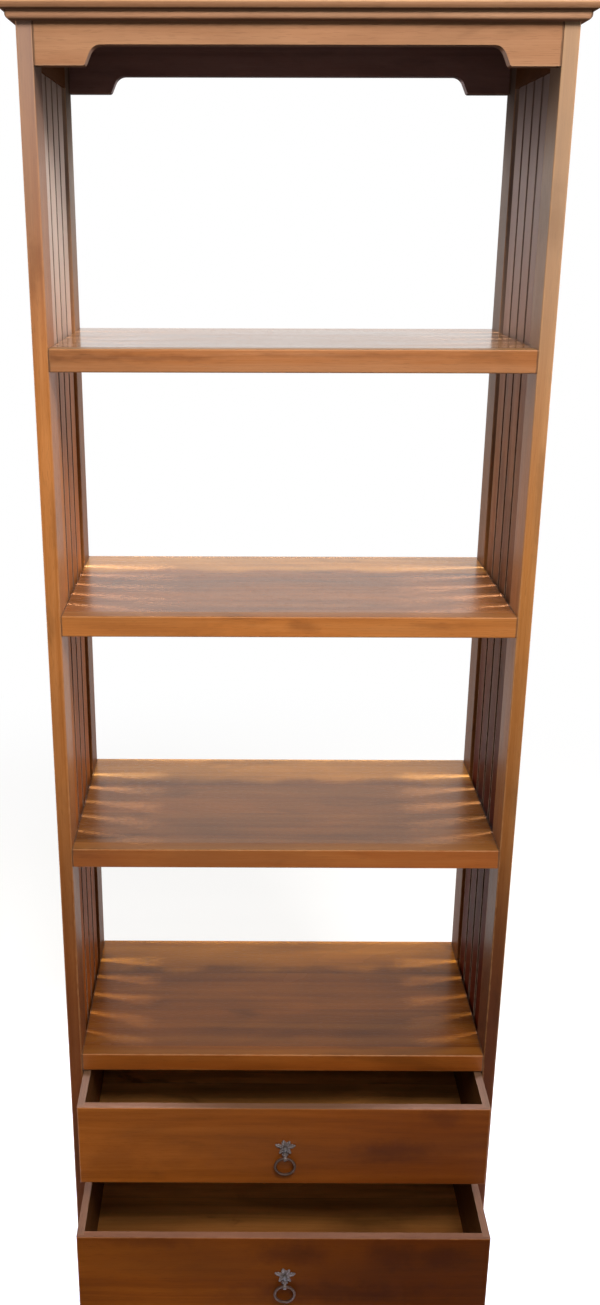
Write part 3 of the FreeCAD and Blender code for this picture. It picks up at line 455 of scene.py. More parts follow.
# How far a normal leans along an axis before its face counts as facing that way.
FACING, TOP_FACING = (0.5, 0.8), (0.5, 0.9)
UNDER_APRON, UNDER_RAIL = (-0.55, -0.9), (-0.5, -0.8)

# Each piece's own log: how far its pith strays, by size and off the broad faces, its place and its tone.
PITH_SPREAD, PITH_AWAY = 0.8, 0.09
SEED_REACH = 7.0
TONE_LOW, TONE_SPAN = 0.93, 0.14

PLANK_WIDTH = 0.104
PLANK_SHIFTS = (1.37, 0.53)
PLANK_TONE_LOW, PLANK_TONE_SPAN = 0.86, 0.24
GLUE_TONE, GLUE_EDGES, GLUE_DEPTH = (0.05, 0.02, 0.008), (0.002, 0.008), 0.35

UNWORN_BACK = 0.03
WEAR_RAGGED, WEAR_RAGGED_SCALE = 3.2 * MM, 90.0
WEAR_EDGES = (0.4 * MM, 2.6 * MM)
# How much the figure, the worn edges and the painted shade change the roughness.
DULL_SPAN, WORN_DULL, DARK_DULL = 0.22, 0.12, 0.45
BUMP_DEPTH = 0.25 * MM

# A darker tone near a piece's ends: its colour, how ragged its edge is, and over what distance and how much
# it darkens. The same colour is painted shade in the cornice's recesses, and darkens a drawer front's top
# behind its rim.
DARKENED_TONE = (0.05, 0.028, 0.018)
DARKENING_RAGGED, DARKENING_RAGGED_SCALE = 3.0 * MM, 60.0
END_DARKENING_EDGES, END_DARKENING_DEPTH = (-0.6 * MM, 1.2 * MM), 0.65
RECESS_START = -0.5 * MM
# Painted shade in the recesses under the cornice's mouldings.
CORNICE_RECESS_SHADE = ((1.8895, 1.0 * MM, 0.18), (1.8785, 2.0 * MM, 0.15))  # height, reach and depth
# Painted shade high inside the sides, under the aprons and top rails and between the slats: its tint, and
# the heights over which it grows.
TOP_SHADE, TOP_SHADE_HEIGHTS = (0.30, 0.28, 0.28), (1.70, 1.85)

SHELF_TOP_TINT = (0.70, 0.83, 1.20)
SAPWOOD, SAPWOOD_HEIGHT, SAPWOOD_FADE, SAPWOOD_DEPTH = (0.50, 0.255, 0.122), 0.010, 0.008, 0.26
SAPWOOD_WANDER, SAPWOOD_WANDER_SCALE = 0.012, 5.0
# Painted light: a paler strip at the back of the lower boards, where light from behind and above falls.
PAINTED_LIGHT_STRIP_EDGES = (0.181, 0.209)
PAINTED_LIGHT_STRIP_WANDER, PAINTED_LIGHT_STRIP_WANDER_SCALE = 0.08, 9.0
PAINTED_LIGHT_STRIP_TINTS = {
    "shelf_1_board": (2.02, 2.30, 1.94),
    "shelf_2_board": (1.98, 2.26, 1.92),
    "shelf_3_board": (1.72, 2.06, 1.82),
}

# The tone of a drawer's top faces: dust and rubbing, and a painted highlight of the light from above.
RIM_TONES = {"upper": (0.130, 0.072, 0.045), "lower": (0.118, 0.056, 0.031)}
RIM_WIDTH, RIM_DEPTH = 11.0 * MM, 0.85
INSIDE_TONE = (0.39, 0.19, 0.060)
INNER_SIDE_TINT = (0.46, 0.42, 0.38)
HOLLOWS, RIM_HOLLOW_SHADE, INSIDE_HOLLOW_SHADE = (0.1, 0.5), 0.72, 0.5


def draws(name, count):
    """Numbers from 0 to 1 that belong to a name and are the same at every run."""
    return [zlib.crc32(f"{name}/{i}".encode()) / 0xFFFFFFFF for i in range(count)]


def grain_axis(low, high):
    """The axis along which a piece is longest."""
    return max(range(3), key=lambda axis: high[axis] - low[axis])


def in_grain_order(axis, values):
    """Puts the value along the grain first."""
    return [values[(axis + i) % 3] for i in range(3)]


def scaled(tone, factor):
    """A tone made darker or lighter."""
    return [part * factor for part in tone]


def tinted(t, skin, tint):
    """A colour multiplied by a tint."""
    return t.blend(1.0, skin, tint, kind="MULTIPLY")


def side_sign(node):
    """The sign of X that points outward from the side a piece belongs to."""
    return -1.0 if node.startswith("left") else 1.0


def wood_material(node, wood_group, edge_group):
    """The varnished wood of one node, with its own log, stain and worn edges, and painted light and shade.
    """
    wood = replace(WOODS[SLOT_OF[node]], **OVERRIDES.get(node, {}))
    material, t, surface = new_material(f"{SLOT_OF[node]}.{node}")
    coordinates = t.add("TexCoord").outputs
    place, normal = coordinates["Object"], coordinates["Normal"]
    parts = t.add("SeparateXYZ", {0: place}).outputs
    grain, skin = sawn(t, node, wood, wood_group, parts)
    # Painted shade and sheen on the sides, and the tints' drift.
    skin = drift_and_painted_sheen(t, node, skin, parts, normal)
    if node.startswith("shelf_"):
        skin = shelf_tones(t, node, skin, parts, normal)
    worn = worn_share(t, node, wood, edge_group, place)
    skin = t.blend(worn, skin, wood.worn)
    skin = spotted(t, SPOTS.get(node, ()), skin, parts, place)
    dark = 0.0
    if "_drawer_" in node:
        skin = drawer_tones(t, node, skin, parts, normal, grain["Height"])
    else:
        # A darker tone near the ends, and painted shade in the cornice's recesses.
        skin = darker_ends_and_recess_shade(t, node, skin, parts)
        # Painted shade under the aprons and top rails, high inside the sides and between the slats.
        skin, dark = painted_shade(t, node, skin, parts, normal)

    dull = t.maths("MULTIPLY_ADD", grain["Dull"], DULL_SPAN, wood.roughness - DULL_SPAN / 2)
    dull = t.maths("MULTIPLY_ADD", worn, WORN_DULL, dull)
    dull = t.maths("MULTIPLY_ADD", dark, DARK_DULL, dull)
    bump = t.add("Bump", {"Strength": wood.bump, "Distance": BUMP_DEPTH, "Height": grain["Height"]})
    shader = t.add("BsdfPrincipled", {
        "Base Color": skin, "Roughness": dull, "Normal": bump.outputs[0],
        "IOR": 1.5, "Specular IOR Level": wood.specular,
    })
    t.feed(surface, shader.outputs[0])
    return material


def sawn(t, node, wood, wood_group, parts):
    """A node's own piece of a log. Returns the wood group's outputs and the colour."""
    low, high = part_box(node)
    axis = grain_axis(low, high)
    centre = in_grain_order(axis, (low + high) / 2)
    size = in_grain_order(axis, high - low)
    chance = draws(node, 6)
    seed = [chance[i] * SEED_REACH for i in (2, 3, 4)]
    pith = (
        0.0,
        centre[1] + (chance[0] - 0.5) * PITH_SPREAD * size[1] + (PITH_AWAY if size[1] < size[2] else 0.0),
        centre[2] + (chance[1] - 0.5) * PITH_SPREAD * size[2] + (PITH_AWAY if size[2] <= size[1] else 0.0),
    )
    tone = scaled(TINTS.get(node, PLAIN), TONE_LOW + TONE_SPAN * chance[5])
    turned = t.add("CombineXYZ", dict(enumerate(in_grain_order(axis, parts)))).outputs[0]
    grain = t.add("Group", {
        "Place": turned, "Seed": seed, "Pith": pith, "Rings": wood.rings,
        "Dark": colour([v * k for v, k in zip(wood.dark, tone)]),
        "Mid": colour([v * k for v, k in zip(wood.mid, tone)]),
        "Light": colour([v * k for v, k in zip(wood.light, tone)]),
        "Figure": wood.figure, "Blotch": wood.blotch, "Stain": wood.stain,
    }, node_tree=wood_group)
    skin = grain.outputs["Color"]
    if min(size[1], size[2]) < PLANK_WIDTH and max(size[1], size[2]) > 2 * PLANK_WIDTH:
        skin = planked(t, grain, skin, parts[1], low[1], seed)
    return grain.outputs, skin


def planked(t, grain, skin, depth, back, seed):
    """Splits a wide board into glued planks: each has its own figure and tone, and a thin glue line."""
    across = t.maths("DIVIDE", t.maths("SUBTRACT", depth, back), PLANK_WIDTH)
    number = t.maths("FLOOR", across)
    shifts = [t.maths("MULTIPLY", number, shift) for shift in PLANK_SHIFTS]
    shifted = t.add("CombineXYZ", {0: shifts[0], 1: shifts[1], 2: 0.0})
    t.feed(grain.inputs["Seed"], t.vector("ADD", shifted.outputs[0], seed))
    chance = t.add("TexWhiteNoise", {"W": t.maths("ADD", number, seed[0])}, noise_dimensions="1D").outputs[0]
    skin = tinted(t, skin, t.grey(t.maths("MULTIPLY_ADD", chance, PLANK_TONE_SPAN, PLANK_TONE_LOW)))
    from_middle = t.maths("SUBTRACT", t.maths("FRACT", t.maths("ADD", across, 0.5)), 0.5)
    line = t.ramp(t.maths("ABSOLUTE", from_middle), *GLUE_EDGES, GLUE_DEPTH, 0.0)
    return t.blend(line, skin, GLUE_TONE)


def worn_share(t, node, wood, edge_group, place):
    """How much of the varnish is rubbed off near a piece's edges, but not where a shelf meets its rail."""
    low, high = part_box(node)
    worn_high = high + Vector((0, UNWORN_BACK, 0)) if node.startswith("shelf_") else high
    edge = t.add("Group", {"Place": place, "Low": low, "High": worn_high}, node_tree=edge_group)
    roughened = t.noise(place, WEAR_RAGGED_SCALE, detail=3.0).outputs[0]
    ragged = t.maths("MULTIPLY_ADD", roughened, WEAR_RAGGED, -WEAR_RAGGED / 2)
    from_edge = t.maths("ADD", edge.outputs["Distance"], ragged)
    return t.maths("MULTIPLY", t.ramp(from_edge, *WEAR_EDGES, 1.0, 0.0), wood.wear)


def drift_and_painted_sheen(t, node, skin, parts, normal):
    """The tint's drift along a piece, and a painted sheen near the top of the sides, but not outside. On the
    stiles and slats the drift is painted shade low down and painted light high up.
    """
    kind = node.split("_slat_")[0] + "_slat" if "_slat_" in node else node
    facing = t.maths("MULTIPLY", t.add("SeparateXYZ", {0: normal}).outputs[0], side_sign(node))
    outer = t.ramp(facing, *FACING)
    # Painted sheen high on the sides, but not on their outward faces.
    painted_sheen = PAINTED_SHEENS.get(kind)
    if painted_sheen:
        grown = t.ramp(parts[2], *painted_sheen.heights, 0.0, painted_sheen.amount)
        pale = t.maths("MULTIPLY", grown, t.maths("SUBTRACT", 1.0, outer))
        skin = t.blend(pale, skin, painted_sheen.tone)
    # The drift: on the stiles and slats, painted shade low down and painted light high up.
    drift = DRIFTS.get(kind)
    if drift:
        tint = t.blend(t.ramp(parts[drift.axis], *drift.places), *drift.tints)
        if kind in OUTER_TINTS:
            plain, amount = OUTER_TINTS[kind]
            tint = t.blend(t.maths("MULTIPLY", outer, amount), tint, plain)
        skin = tinted(t, skin, tint)
    return skin


def darker_ends_and_recess_shade(t, node, skin, parts):
    """A darker tone near a piece's ends, and painted shade in the recesses under the cornice's mouldings."""
    low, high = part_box(node)
    axis = grain_axis(low, high)
    from_low = t.maths("SUBTRACT", parts[axis], low[axis])
    from_high = t.maths("SUBTRACT", high[axis], parts[axis])
    from_end = t.maths("MINIMUM", from_low, from_high)
    place = t.add("CombineXYZ", dict(enumerate(parts))).outputs[0]
    uneven = t.maths("MULTIPLY", t.noise(place, DARKENING_RAGGED_SCALE).outputs[0], DARKENING_RAGGED)
    darkening = t.ramp(t.maths("SUBTRACT", from_end, uneven), *END_DARKENING_EDGES, END_DARKENING_DEPTH, 0.0)
    if SLOT_OF[node] == "cornice_wood":
        # Painted shade in the recesses under the mouldings.
        for recess, reach, depth in CORNICE_RECESS_SHADE:
            near = t.maths("ABSOLUTE", t.maths("SUBTRACT", parts[2], recess))
            recess_shade = t.ramp(t.maths("SUBTRACT", near, uneven), RECESS_START, reach, depth, 0.0)
            darkening = t.maths("MAXIMUM", darkening, recess_shade)
    return t.blend(darkening, skin, DARKENED_TONE)


def painted_shade(t, node, skin, parts, normal):
    """Painted shade, and how much of it: a darker, duller tone where shade falls.

    It lies under the aprons and top rails, high inside the sides and between the slats.
    """
    facing = t.add("SeparateXYZ", {0: normal}).outputs
    if SLOT_OF[node] == "cornice_wood":
        dark = t.ramp(facing[2], *UNDER_APRON)
    elif node.endswith(("_stile", "_top_rail")) or "_slat_" in node:
        inward = t.maths("MULTIPLY", facing[0], -side_sign(node))
        dark = t.maths("MULTIPLY", t.ramp(inward, *FACING), t.ramp(parts[2], *TOP_SHADE_HEIGHTS))
        if "_slat_" in node:
            dark = t.maths("MAXIMUM", dark, t.ramp(t.maths("ABSOLUTE", facing[1]), *FACING))
        if node.endswith("_top_rail"):
            dark = t.maths("MAXIMUM", dark, t.ramp(facing[2], *UNDER_RAIL))
    else:
        return skin, 0.0
    return t.blend(dark, skin, tinted(t, skin, TOP_SHADE)), dark


def spotted(t, spots, skin, parts, place):
    """Lays soft, ragged dark stains on a piece's front."""
    if not spots:
        return skin
    roughened = t.noise(place, SPOT_RAGGED_SCALE, detail=4.0, roughness=0.6).outputs["Color"]
    ragged = t.add("SeparateXYZ", {0: t.vector("SUBTRACT", roughened, (0.5, 0.5, 0.5))}).outputs
    for spot in spots:
        across = t.maths("DIVIDE", t.maths("SUBTRACT", parts[0], spot.middle[0]), spot.half[0])
        up = t.maths("DIVIDE", t.maths("SUBTRACT", parts[2], spot.middle[1]), spot.half[1])
        across = t.maths("ADD", across, t.maths("MULTIPLY", ragged[0], SPOT_RAGGED))
        up = t.maths("ADD", up, t.maths("MULTIPLY", ragged[1], SPOT_RAGGED))
        away = t.vector("LENGTH", t.add("CombineXYZ", {0: across, 1: up, 2: 0.0}).outputs[0])
        stained = tinted(t, skin, SPOT_TINT)
        skin = t.blend(t.ramp(away, *SPOT_EDGES, spot.depth, 0.0), skin, stained)
    return skin


def shelf_tones(t, node, skin, parts, normal):
    """The shelves' tones: a board's paler back strip, which is painted light from behind and above, and a
    front rail that is like its board on top.
    """
    # Painted light from behind and above on the board's back strip.
    if node in PAINTED_LIGHT_STRIP_TINTS:
        along_shelf = t.add("CombineXYZ", {0: parts[0], 1: 0.0, 2: parts[2]}).outputs[0]
        border = t.noise(along_shelf, PAINTED_LIGHT_STRIP_WANDER_SCALE, detail=3.0).outputs[0]
        wander = t.maths("MULTIPLY_ADD", border, PAINTED_LIGHT_STRIP_WANDER, parts[1])
        strip = t.ramp(wander, *PAINTED_LIGHT_STRIP_EDGES)
        return t.blend(strip, skin, tinted(t, skin, PAINTED_LIGHT_STRIP_TINTS[node]))
    if node.endswith("_board"):
        return skin
    if node == "shelf_4_front_rail":
        skin = sapwood(t, node, skin, parts)
    board = node.replace("front_rail", "board")
    pairs = zip(SHELF_TOP_TINT, TINTS.get(board, PLAIN), TINTS.get(node, PLAIN))
    topped = tinted(t, skin, [top * board_part / own_part for top, board_part, own_part in pairs])
    upward = t.ramp(t.add("SeparateXYZ", {0: normal}).outputs[2], *TOP_FACING)
    return t.blend(upward, skin, topped)


def sapwood(t, node, skin, parts):
    """A pale wandering band low on a front rail."""
    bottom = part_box(node)[0].z
    border = t.noise(parts[0], SAPWOOD_WANDER_SCALE, detail=3.0).outputs[0]
    wander = t.maths("MULTIPLY_ADD", border, SAPWOOD_WANDER, bottom)
    above = t.maths("SUBTRACT", parts[2], wander)
    band = t.ramp(above, SAPWOOD_HEIGHT - SAPWOOD_FADE, SAPWOOD_HEIGHT, SAPWOOD_DEPTH, 0.0)
    return t.blend(band, skin, SAPWOOD)


def drawer_tones(t, node, skin, parts, normal, height):
    """A drawer's top faces in their own tone, the dark thin stain inside its front, and its sides darker
    inside. The top faces' tone is rubbed and dusty, with a painted highlight of the light from above.
    """
    facing = t.add("SeparateXYZ", {0: normal}).outputs
    rim = t.ramp(facing[2], *FACING)
    # The top faces' tone: dust and rubbing, and a painted highlight of the light from above.
    full_tone = RIM_TONES[node.split("_")[0]]
    rim_tone = t.blend(t.ramp(height, *HOLLOWS), scaled(full_tone, RIM_HOLLOW_SHADE), full_tone)
    if node.endswith("_drawer_front"):
        hollow_tone = scaled(INSIDE_TONE, INSIDE_HOLLOW_SHADE)
        inside_tone = t.blend(t.ramp(height, *HOLLOWS), hollow_tone, INSIDE_TONE)
        skin = t.blend(t.ramp(facing[1], *FACING), skin, inside_tone)
        rim_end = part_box(node)[0].y + RIM_WIDTH
        rim_tone = t.blend(t.ramp(parts[1], rim_end, rim_end + MM), rim_tone, DARKENED_TONE)
    if node.endswith("_side"):
        inward = t.maths("MULTIPLY", facing[0], 1.0 if "_left_" in node else -1.0)
        inner = tinted(t, skin, INNER_SIDE_TINT)
        skin = t.blend(t.ramp(inward, *FACING), skin, inner)
    if not node.endswith("_drawer_bottom"):
        skin = t.blend(t.maths("MULTIPLY", rim, RIM_DEPTH), skin, rim_tone)
    return skin


# ---------------------------------------------------------------- iron and steel

CASTING_SCALE, IRON_PATCH_SCALE = 900.0, 160.0
PROUD_EDGES = (0.50, 0.58)  # in Blender's pointiness, which is 0.5 on a flat face
RUB_PATCHES, RUB_RANGE = (0.35, 0.6), (0.5, 1.0)
PALE_PATCHES, PALE_FACTOR = (0.4, 0.65), 1.5
DULL_PATCHES, IRON_SHINY, IRON_DULL = (0.3, 0.7), 0.08, 0.12
TURNING_SCALES, ZINC_PATCH_SCALE = (400.0, 2600.0, 2600.0), 220.0
ZINC_PATCHES, ZINC_TONES = (0.35, 0.7), ((0.30, 0.29, 0.27), (0.46, 0.45, 0.43))
ZINC_TURNING, ZINC_ROUGHNESS = (0.3, 0.7), (0.35, 0.5)
# Each iron's material name, its colour, its colour where it is rubbed, and its roughness.
IRONS = {
    "pull_iron": ("pull_iron.ring", (0.055, 0.030, 0.021), (0.19, 0.125, 0.105), 0.48),
    "cast_plate": ("pull_iron.plate", (0.085, 0.064, 0.058), (0.56, 0.50, 0.52), 0.42),
    "bolt_iron": ("bolt_iron.cast", (0.055, 0.047, 0.045), (0.26, 0.23, 0.22), 0.45),
}


def iron_material(name, base, rubbed, roughness):
    """Dark cast iron, rubbed lighter on what stands out and dull in the hollows."""
    material, t, surface = new_material(name)
    place = t.add("TexCoord").outputs["Object"]
    rough_skin = t.noise(place, CASTING_SCALE, detail=4.0, roughness=0.6).outputs[0]
    patches = t.noise(place, IRON_PATCH_SCALE, detail=3.0).outputs[0]
    proud = t.ramp(t.add("NewGeometry").outputs["Pointiness"], *PROUD_EDGES)
    rub = t.maths("MULTIPLY", proud, t.ramp(patches, *RUB_PATCHES, *RUB_RANGE), clamp=True)
    skin = t.blend(t.ramp(patches, *PALE_PATCHES), base, scaled(base, PALE_FACTOR))
    skin = t.blend(rub, skin, rubbed)
    bump = t.add("Bump", {"Strength": 0.5, "Distance": 0.15 * MM, "Height": rough_skin})
    dull = t.ramp(patches, *DULL_PATCHES, roughness - IRON_SHINY, roughness + IRON_DULL)
    shader = t.add("BsdfPrincipled", {
        "Base Color": skin, "Roughness": dull, "Metallic": 0.75, "Normal": bump.outputs[0],
    })
    t.feed(surface, shader.outputs[0])
    return material


def steel_material(name):
    """Dull zinc-plated steel with fine turning marks and a few darker patches."""
    material, t, surface = new_material(name)
    place = t.add("TexCoord").outputs["Object"]
    fine = t.noise(t.vector("MULTIPLY", place, TURNING_SCALES), 1.0, detail=3.0).outputs[0]
    patches = t.noise(place, ZINC_PATCH_SCALE, detail=3.0).outputs[0]
    skin = t.blend(t.ramp(patches, *ZINC_PATCHES), *ZINC_TONES)
    bump = t.add("Bump", {"Strength": 0.3, "Distance": 0.05 * MM, "Height": fine})
    dull = t.ramp(fine, *ZINC_TURNING, *ZINC_ROUGHNESS)
    shader = t.add("BsdfPrincipled", {
        "Base Color": skin, "Roughness": dull, "Metallic": 1.0, "Normal": bump.outputs[0],
    })
    t.feed(surface, shader.outputs[0])
    return material


def finish_nodes():
    """Gives every CAD node its material. Returns the metals, of which the cast plates need one."""
    wood_group, edge_group = make_wood_group(), make_edge_group()
    metals = {slot: iron_material(*finish) for slot, finish in IRONS.items()}
    metals["fastener_steel"] = steel_material("fastener_steel.zinc")
    for node, piece in frame["nodes"].items():
        material = metals.get(SLOT_OF[node]) or wood_material(node, wood_group, edge_group)
        for holder in piece.material_slots:
            holder.material = material
    return metals


# ---------------------------------------------------------------- the pulls' cast plates

# Millimetres from the plate's middle: X to the right, Y into the drawer front, Z up. Balls are given by
# their middles and radii.
BOSS = ((0, 0, 0), (8.2, 2.7, 8.2))
NECK_AND_EYE_FOOT = (
    ((0, -2.4, -4.6), (1.9, 1.8, 2.2)),
    ((0, -3.0, -6.6), (2.0, 1.8, 2.3)),
    ((0, -3.7, -8.6), (2.5, 1.8, 2.8)),
    ((0, -4.0, -10.4), (2.9, 1.8, 3.2)),
    ((0, -1.5, -11.1), (5.2, 2.0, 3.9)),
)
# The petals' reach at each angle, and their width.
UPPER_PETALS, UPPER_PETAL_WIDTH = {22: 15.0, 62: 13.2, 101: 13.6, 154: 15.0}, 3.7
LOWER_PETALS, LOWER_PETAL_WIDTH = {225: 10.5, 315: 10.5}, 3.8
# A petal's parts: where their middles and ends are, as shares of its reach, how far out, and how thick.
LEAF_MIDDLE, LEAF_HALF, LEAF_OUT, LEAF_THICK = 0.60, 0.46, 0.5, 1.7
VEIN_MIDDLE, VEIN_HALF, VEIN_OUT, VEIN_THICK = 0.74, 0.34, 2.1, (0.7, 0.65)
TIP_OUT, TIP_RADII = 0.9, (2.3, 1.9, 2.0)
LOBE_MIDDLE, LOBE_OUT, LOBE_RADII = 0.80, 0.6, (1.9, 1.3, 1.3)
LOBE_ANGLE, LOBE_TURN = 11, 24
EYE_HEIGHT, EYE_OUT = -15.7, -4.6
EYE_RADIUS, EYE_WALL, EYE_WIDTH = 3.5, 1.05, 2.3
PLATE_VOXEL = 0.25


def add_ball(bm, centre, radii, angle=0.0):
    """Adds an ellipsoid, turned in the plate's plane so that its first radius points along the angle."""
    turn = Matrix.Rotation(-math.radians(angle), 4, "Y")
    shape = Matrix.Translation(centre) @ turn @ Matrix.Diagonal((*radii, 1.0))
    bmesh.ops.create_icosphere(bm, subdivisions=3, radius=1.0, matrix=shape)


def along(angle, reach, out):
    """The place at a reach from the plate's middle in the direction of an angle."""
    return (reach * math.cos(math.radians(angle)), -out, reach * math.sin(math.radians(angle)))


def add_petal(bm, angle, reach, width):
    """Adds a leaf with a round tip, a raised vein and two small side lobes."""
    leaf, vein = (LEAF_HALF * reach, LEAF_THICK, width), (VEIN_HALF * reach, *VEIN_THICK)
    add_ball(bm, along(angle, LEAF_MIDDLE * reach, LEAF_OUT), leaf, angle)
    add_ball(bm, along(angle, reach, TIP_OUT), TIP_RADII, angle)
    add_ball(bm, along(angle, VEIN_MIDDLE * reach, VEIN_OUT), vein, angle)
    for side in (-1, 1):
        middle = along(angle + side * LOBE_ANGLE, LOBE_MIDDLE * reach, LOBE_OUT)
        add_ball(bm, middle, LOBE_RADII, angle + side * LOBE_TURN)


def add_eye(bm, rings=24, steps=12):
    """Adds the eye that holds the ring: a flattened torus about the X axis."""
    corners = []
    for i in range(rings):
        about = 2 * math.pi * i / rings
        for j in range(steps):
            around = 2 * math.pi * j / steps
            radius = EYE_RADIUS + EYE_WALL * math.cos(around)
            corners.append(bm.verts.new((
                EYE_WIDTH * math.sin(around),
                EYE_OUT + radius * math.cos(about),
                EYE_HEIGHT + radius * math.sin(about),
            )))
    for i in range(rings):
        for j in range(steps):
            here, there = i * steps, (i + 1) % rings * steps
            after = (j + 1) % steps
            around = (here + j, here + after, there + after, there + j)
            bm.faces.new([corners[k] for k in around])


def make_plate_mesh():
    """One cast plate, millimetres turned to metres about the pull's middle on the drawer front."""
    bm = bmesh.new()
    add_ball(bm, *BOSS)
    for angle, reach in UPPER_PETALS.items():
        add_petal(bm, angle, reach, UPPER_PETAL_WIDTH)
    for angle, reach in LOWER_PETALS.items():
        add_petal(bm, angle, reach, LOWER_PETAL_WIDTH)
    for middle, radii in NECK_AND_EYE_FOOT:
        add_ball(bm, middle, radii)
    add_eye(bm)
    bmesh.ops.recalc_face_normals(bm, faces=bm.faces)
    draft = bpy.data.meshes.new("plate_draft")
    bm.to_mesh(draft)
    bm.free()
    holder = bpy.data.objects.new("plate_draft", draft)
    bpy.context.scene.collection.objects.link(holder)
    fuse = holder.modifiers.new("fuse", "REMESH")
    fuse.mode = "VOXEL"
    fuse.voxel_size = PLATE_VOXEL
    soften = holder.modifiers.new("soften", "SMOOTH")
    soften.factor, soften.iterations = 0.5, 3
    fused = holder.evaluated_get(bpy.context.evaluated_depsgraph_get())
    bm = bmesh.new()
    bm.from_mesh(bpy.data.meshes.new_from_object(fused))
    bpy.data.objects.remove(holder)
    # What would reach into the drawer front is cut off flat, and the cut is closed.
    everything = bm.verts[:] + bm.edges[:] + bm.faces[:]
    cut = bmesh.ops.bisect_plane(
        bm, geom=everything, plane_co=(0, 0, 0), plane_no=(0, 1, 0), clear_outer=True
    )
    rim = [part for part in cut["geom_cut"] if isinstance(part, bmesh.types.BMEdge)]
    bmesh.ops.contextual_create(bm, geom=rim)
    bmesh.ops.scale(bm, vec=(MM, MM, MM), verts=bm.verts)
    mesh = bpy.data.meshes.new("pull_plate")
    bm.to_mesh(mesh)
    bm.free()
    mesh.shade_smooth()
    return mesh


def make_plates(iron):
    """Both drawers' plates: the same casting, where the CAD's plain plates are."""
    mesh = make_plate_mesh()
    mesh.materials.append(iron)
    for drawer in ("upper", "lower"):
        head_low, head_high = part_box(f"{drawer}_pull_bolt")
        middle = (head_low + head_high) / 2
        plate = bpy.data.objects.new(f"{drawer}_cast_plate", mesh)
        plate.location = (middle.x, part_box(f"{drawer}_pull_plate")[1].y, middle.z)
        bpy.context.scene.collection.objects.link(plate)
        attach(plate, f"{drawer}_drawer")
        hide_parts(f"{drawer}_pull_plate")


# ---------------------------------------------------------------- floor, world and lamps

def is_seen(t):
    """1 for rays that show the background: the camera's, and those that gloss and glass send on."""
    path = t.add("LightPath").outputs
    seen = t.maths("MAXIMUM", path["Is Camera Ray"], path["Is Glossy Ray"])
    return t.maths("MAXIMUM", seen, path["Is Transmission Ray"])


FLOOR_HALF_WIDTH = 9.0
FLOOR_NEAR, FLOOR_FAR = 0.9, 2.7
FLOOR_PALE, FLOOR_BOUNCE = (0.80, 0.80, 0.80), (0.20, 0.19, 0.18)
FLOOR_GLOW = 0.17


def make_floor():
    """A plain pale floor that keeps the object's shadow near it and turns to white farther out."""
    mesh = bpy.data.meshes.new("floor")
    w = FLOOR_HALF_WIDTH
    mesh.from_pydata([(-w, -w, 0), (w, -w, 0), (w, w, 0), (-w, w, 0)], [], [(0, 1, 2, 3)])
    floor = bpy.data.objects.new("floor", mesh)
    bpy.context.scene.collection.objects.link(floor)
    material, t, surface = new_material("floor")
    place = t.add("TexCoord").outputs["Object"]
    away = t.ramp(t.vector("LENGTH", place), FLOOR_NEAR, FLOOR_FAR)
    pale = t.add("BsdfDiffuse", {"Color": colour(FLOOR_PALE)}).outputs[0]
    glow = t.add("Emission", {"Color": WHITE, "Strength": FLOOR_GLOW}).outputs[0]
    near = t.add("AddShader", {0: pale, 1: glow}).outputs[0]
    white = t.add("Emission", {"Color": WHITE, "Strength": 1.0}).outputs[0]
    shown = t.add("MixShader", {0: away, 1: near, 2: white}).outputs[0]
    bounce = t.add("BsdfDiffuse", {"Color": colour(FLOOR_BOUNCE)}).outputs[0]
    t.feed(surface, t.add("MixShader", {0: is_seen(t), 1: bounce, 2: shown}).outputs[0])
    mesh.materials.append(material)


# The wall's light in front, behind and above, and the directions' Y and Z between which it grows.
WORLD_FRONT, WORLD_BACK, WORLD_TOP = 0.10, 1.0, 0.55
WORLD_TURN, WORLD_RISE = (-0.25, 0.55), (0.15, 0.9)


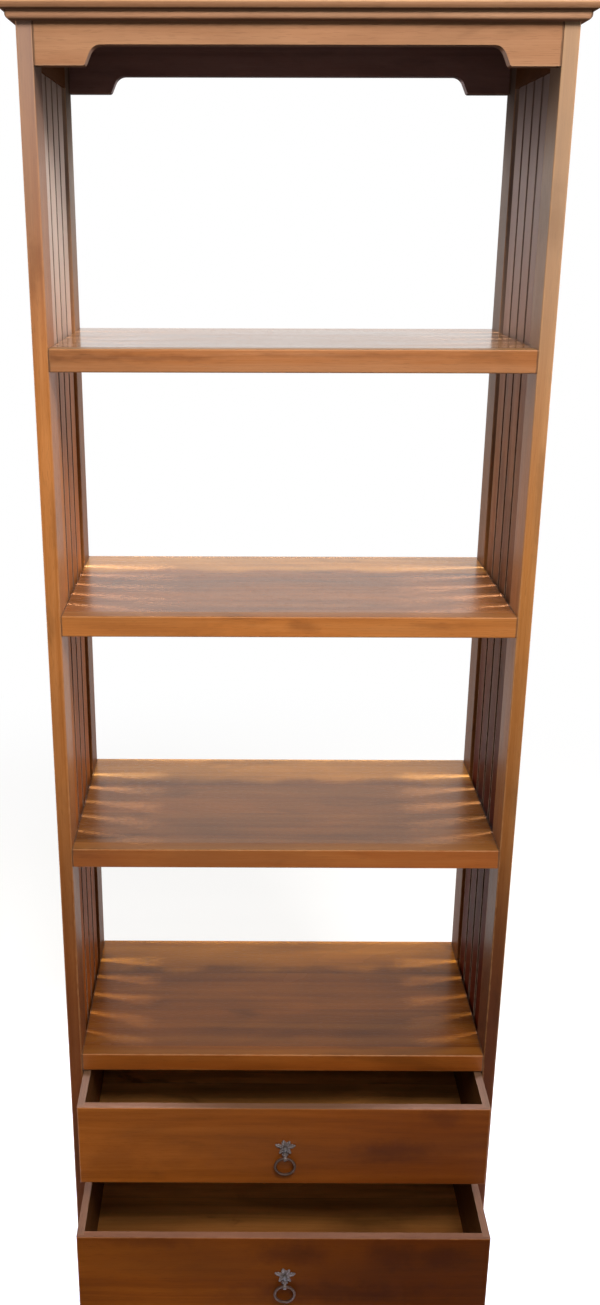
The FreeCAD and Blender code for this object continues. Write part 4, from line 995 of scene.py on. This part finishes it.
def make_world():
    """White to the camera; it lights the object like a studio with a bright wall behind."""
    world = bpy.data.worlds.new("studio")
    world.use_nodes = True
    world.node_tree.nodes.clear()
    t = Tree(world.node_tree)
    direction = t.add("SeparateXYZ", {0: t.add("TexCoord").outputs["Generated"]}).outputs
    level = t.ramp(direction[1], *WORLD_TURN, WORLD_FRONT, WORLD_BACK)
    level = t.maths("MAXIMUM", level, t.ramp(direction[2], *WORLD_RISE, 0.0, WORLD_TOP))
    strength = t.maths("MAXIMUM", level, is_seen(t))
    background = t.add("Background", {"Color": WHITE, "Strength": strength})
    t.feed(t.add("OutputWorld").inputs["Surface"], background.outputs[0])
    bpy.context.scene.world = world


@dataclass
class Lamp:
    """A rectangular lamp: where it hangs, what it faces, its power in watts, and its beam in degrees."""
    place: tuple
    faces: tuple
    size: tuple
    power: float
    tint: tuple = (1.0, 1.0, 1.0)
    beam: float = 180.0


LAMPS = {
    "key": Lamp((0.45, -1.75, 3.3), (0.0, 0.0, 1.5), (1.2, 0.9), 80.0, (1.0, 0.96, 0.91)),
    "ceiling_behind": Lamp((0.1, 0.75, 3.6), (0.0, 0.15, 1.0), (1.0, 0.4), 32.0, (1.0, 0.95, 0.87)),
    "grid_left": Lamp((-1.0, 0.22, 3.1), (-0.33, 0.10, 1.0), (0.20, 0.20), 4.4, (0.60, 0.69, 1.0), 26.0),
    "grid_right": Lamp((1.0, 0.22, 3.1), (0.33, 0.10, 1.0), (0.20, 0.20), 4.4, (0.60, 0.69, 1.0), 26.0),
    "side_left": Lamp((-2.2, 0.10, 1.3), (-0.3, 0.08, 1.2), (0.8, 1.6), 16.0),
    "side_right": Lamp((2.2, 0.10, 1.3), (0.3, 0.08, 1.2), (0.8, 1.6), 16.0),
}


def make_lamps():
    """Hangs the lamps, which the camera itself does not see."""
    for name, lamp in LAMPS.items():
        data = bpy.data.lights.new(name, "AREA")
        data.shape = "RECTANGLE"
        data.size, data.size_y = lamp.size
        data.energy = lamp.power
        data.color = lamp.tint
        data.spread = math.radians(lamp.beam)
        holder = bpy.data.objects.new(name, data)
        holder.location = lamp.place
        towards = Vector(lamp.faces) - Vector(lamp.place)
        holder.rotation_euler = towards.to_track_quat("-Z", "Y").to_euler()
        holder.visible_camera = False
        bpy.context.scene.collection.objects.link(holder)


# ---------------------------------------------------------------- all of it

make_camera()
make_world()
make_lamps()
make_floor()
metals = finish_nodes()
make_plates(metals["cast_plate"])
bpy.context.scene.view_settings.view_transform = "Standard"
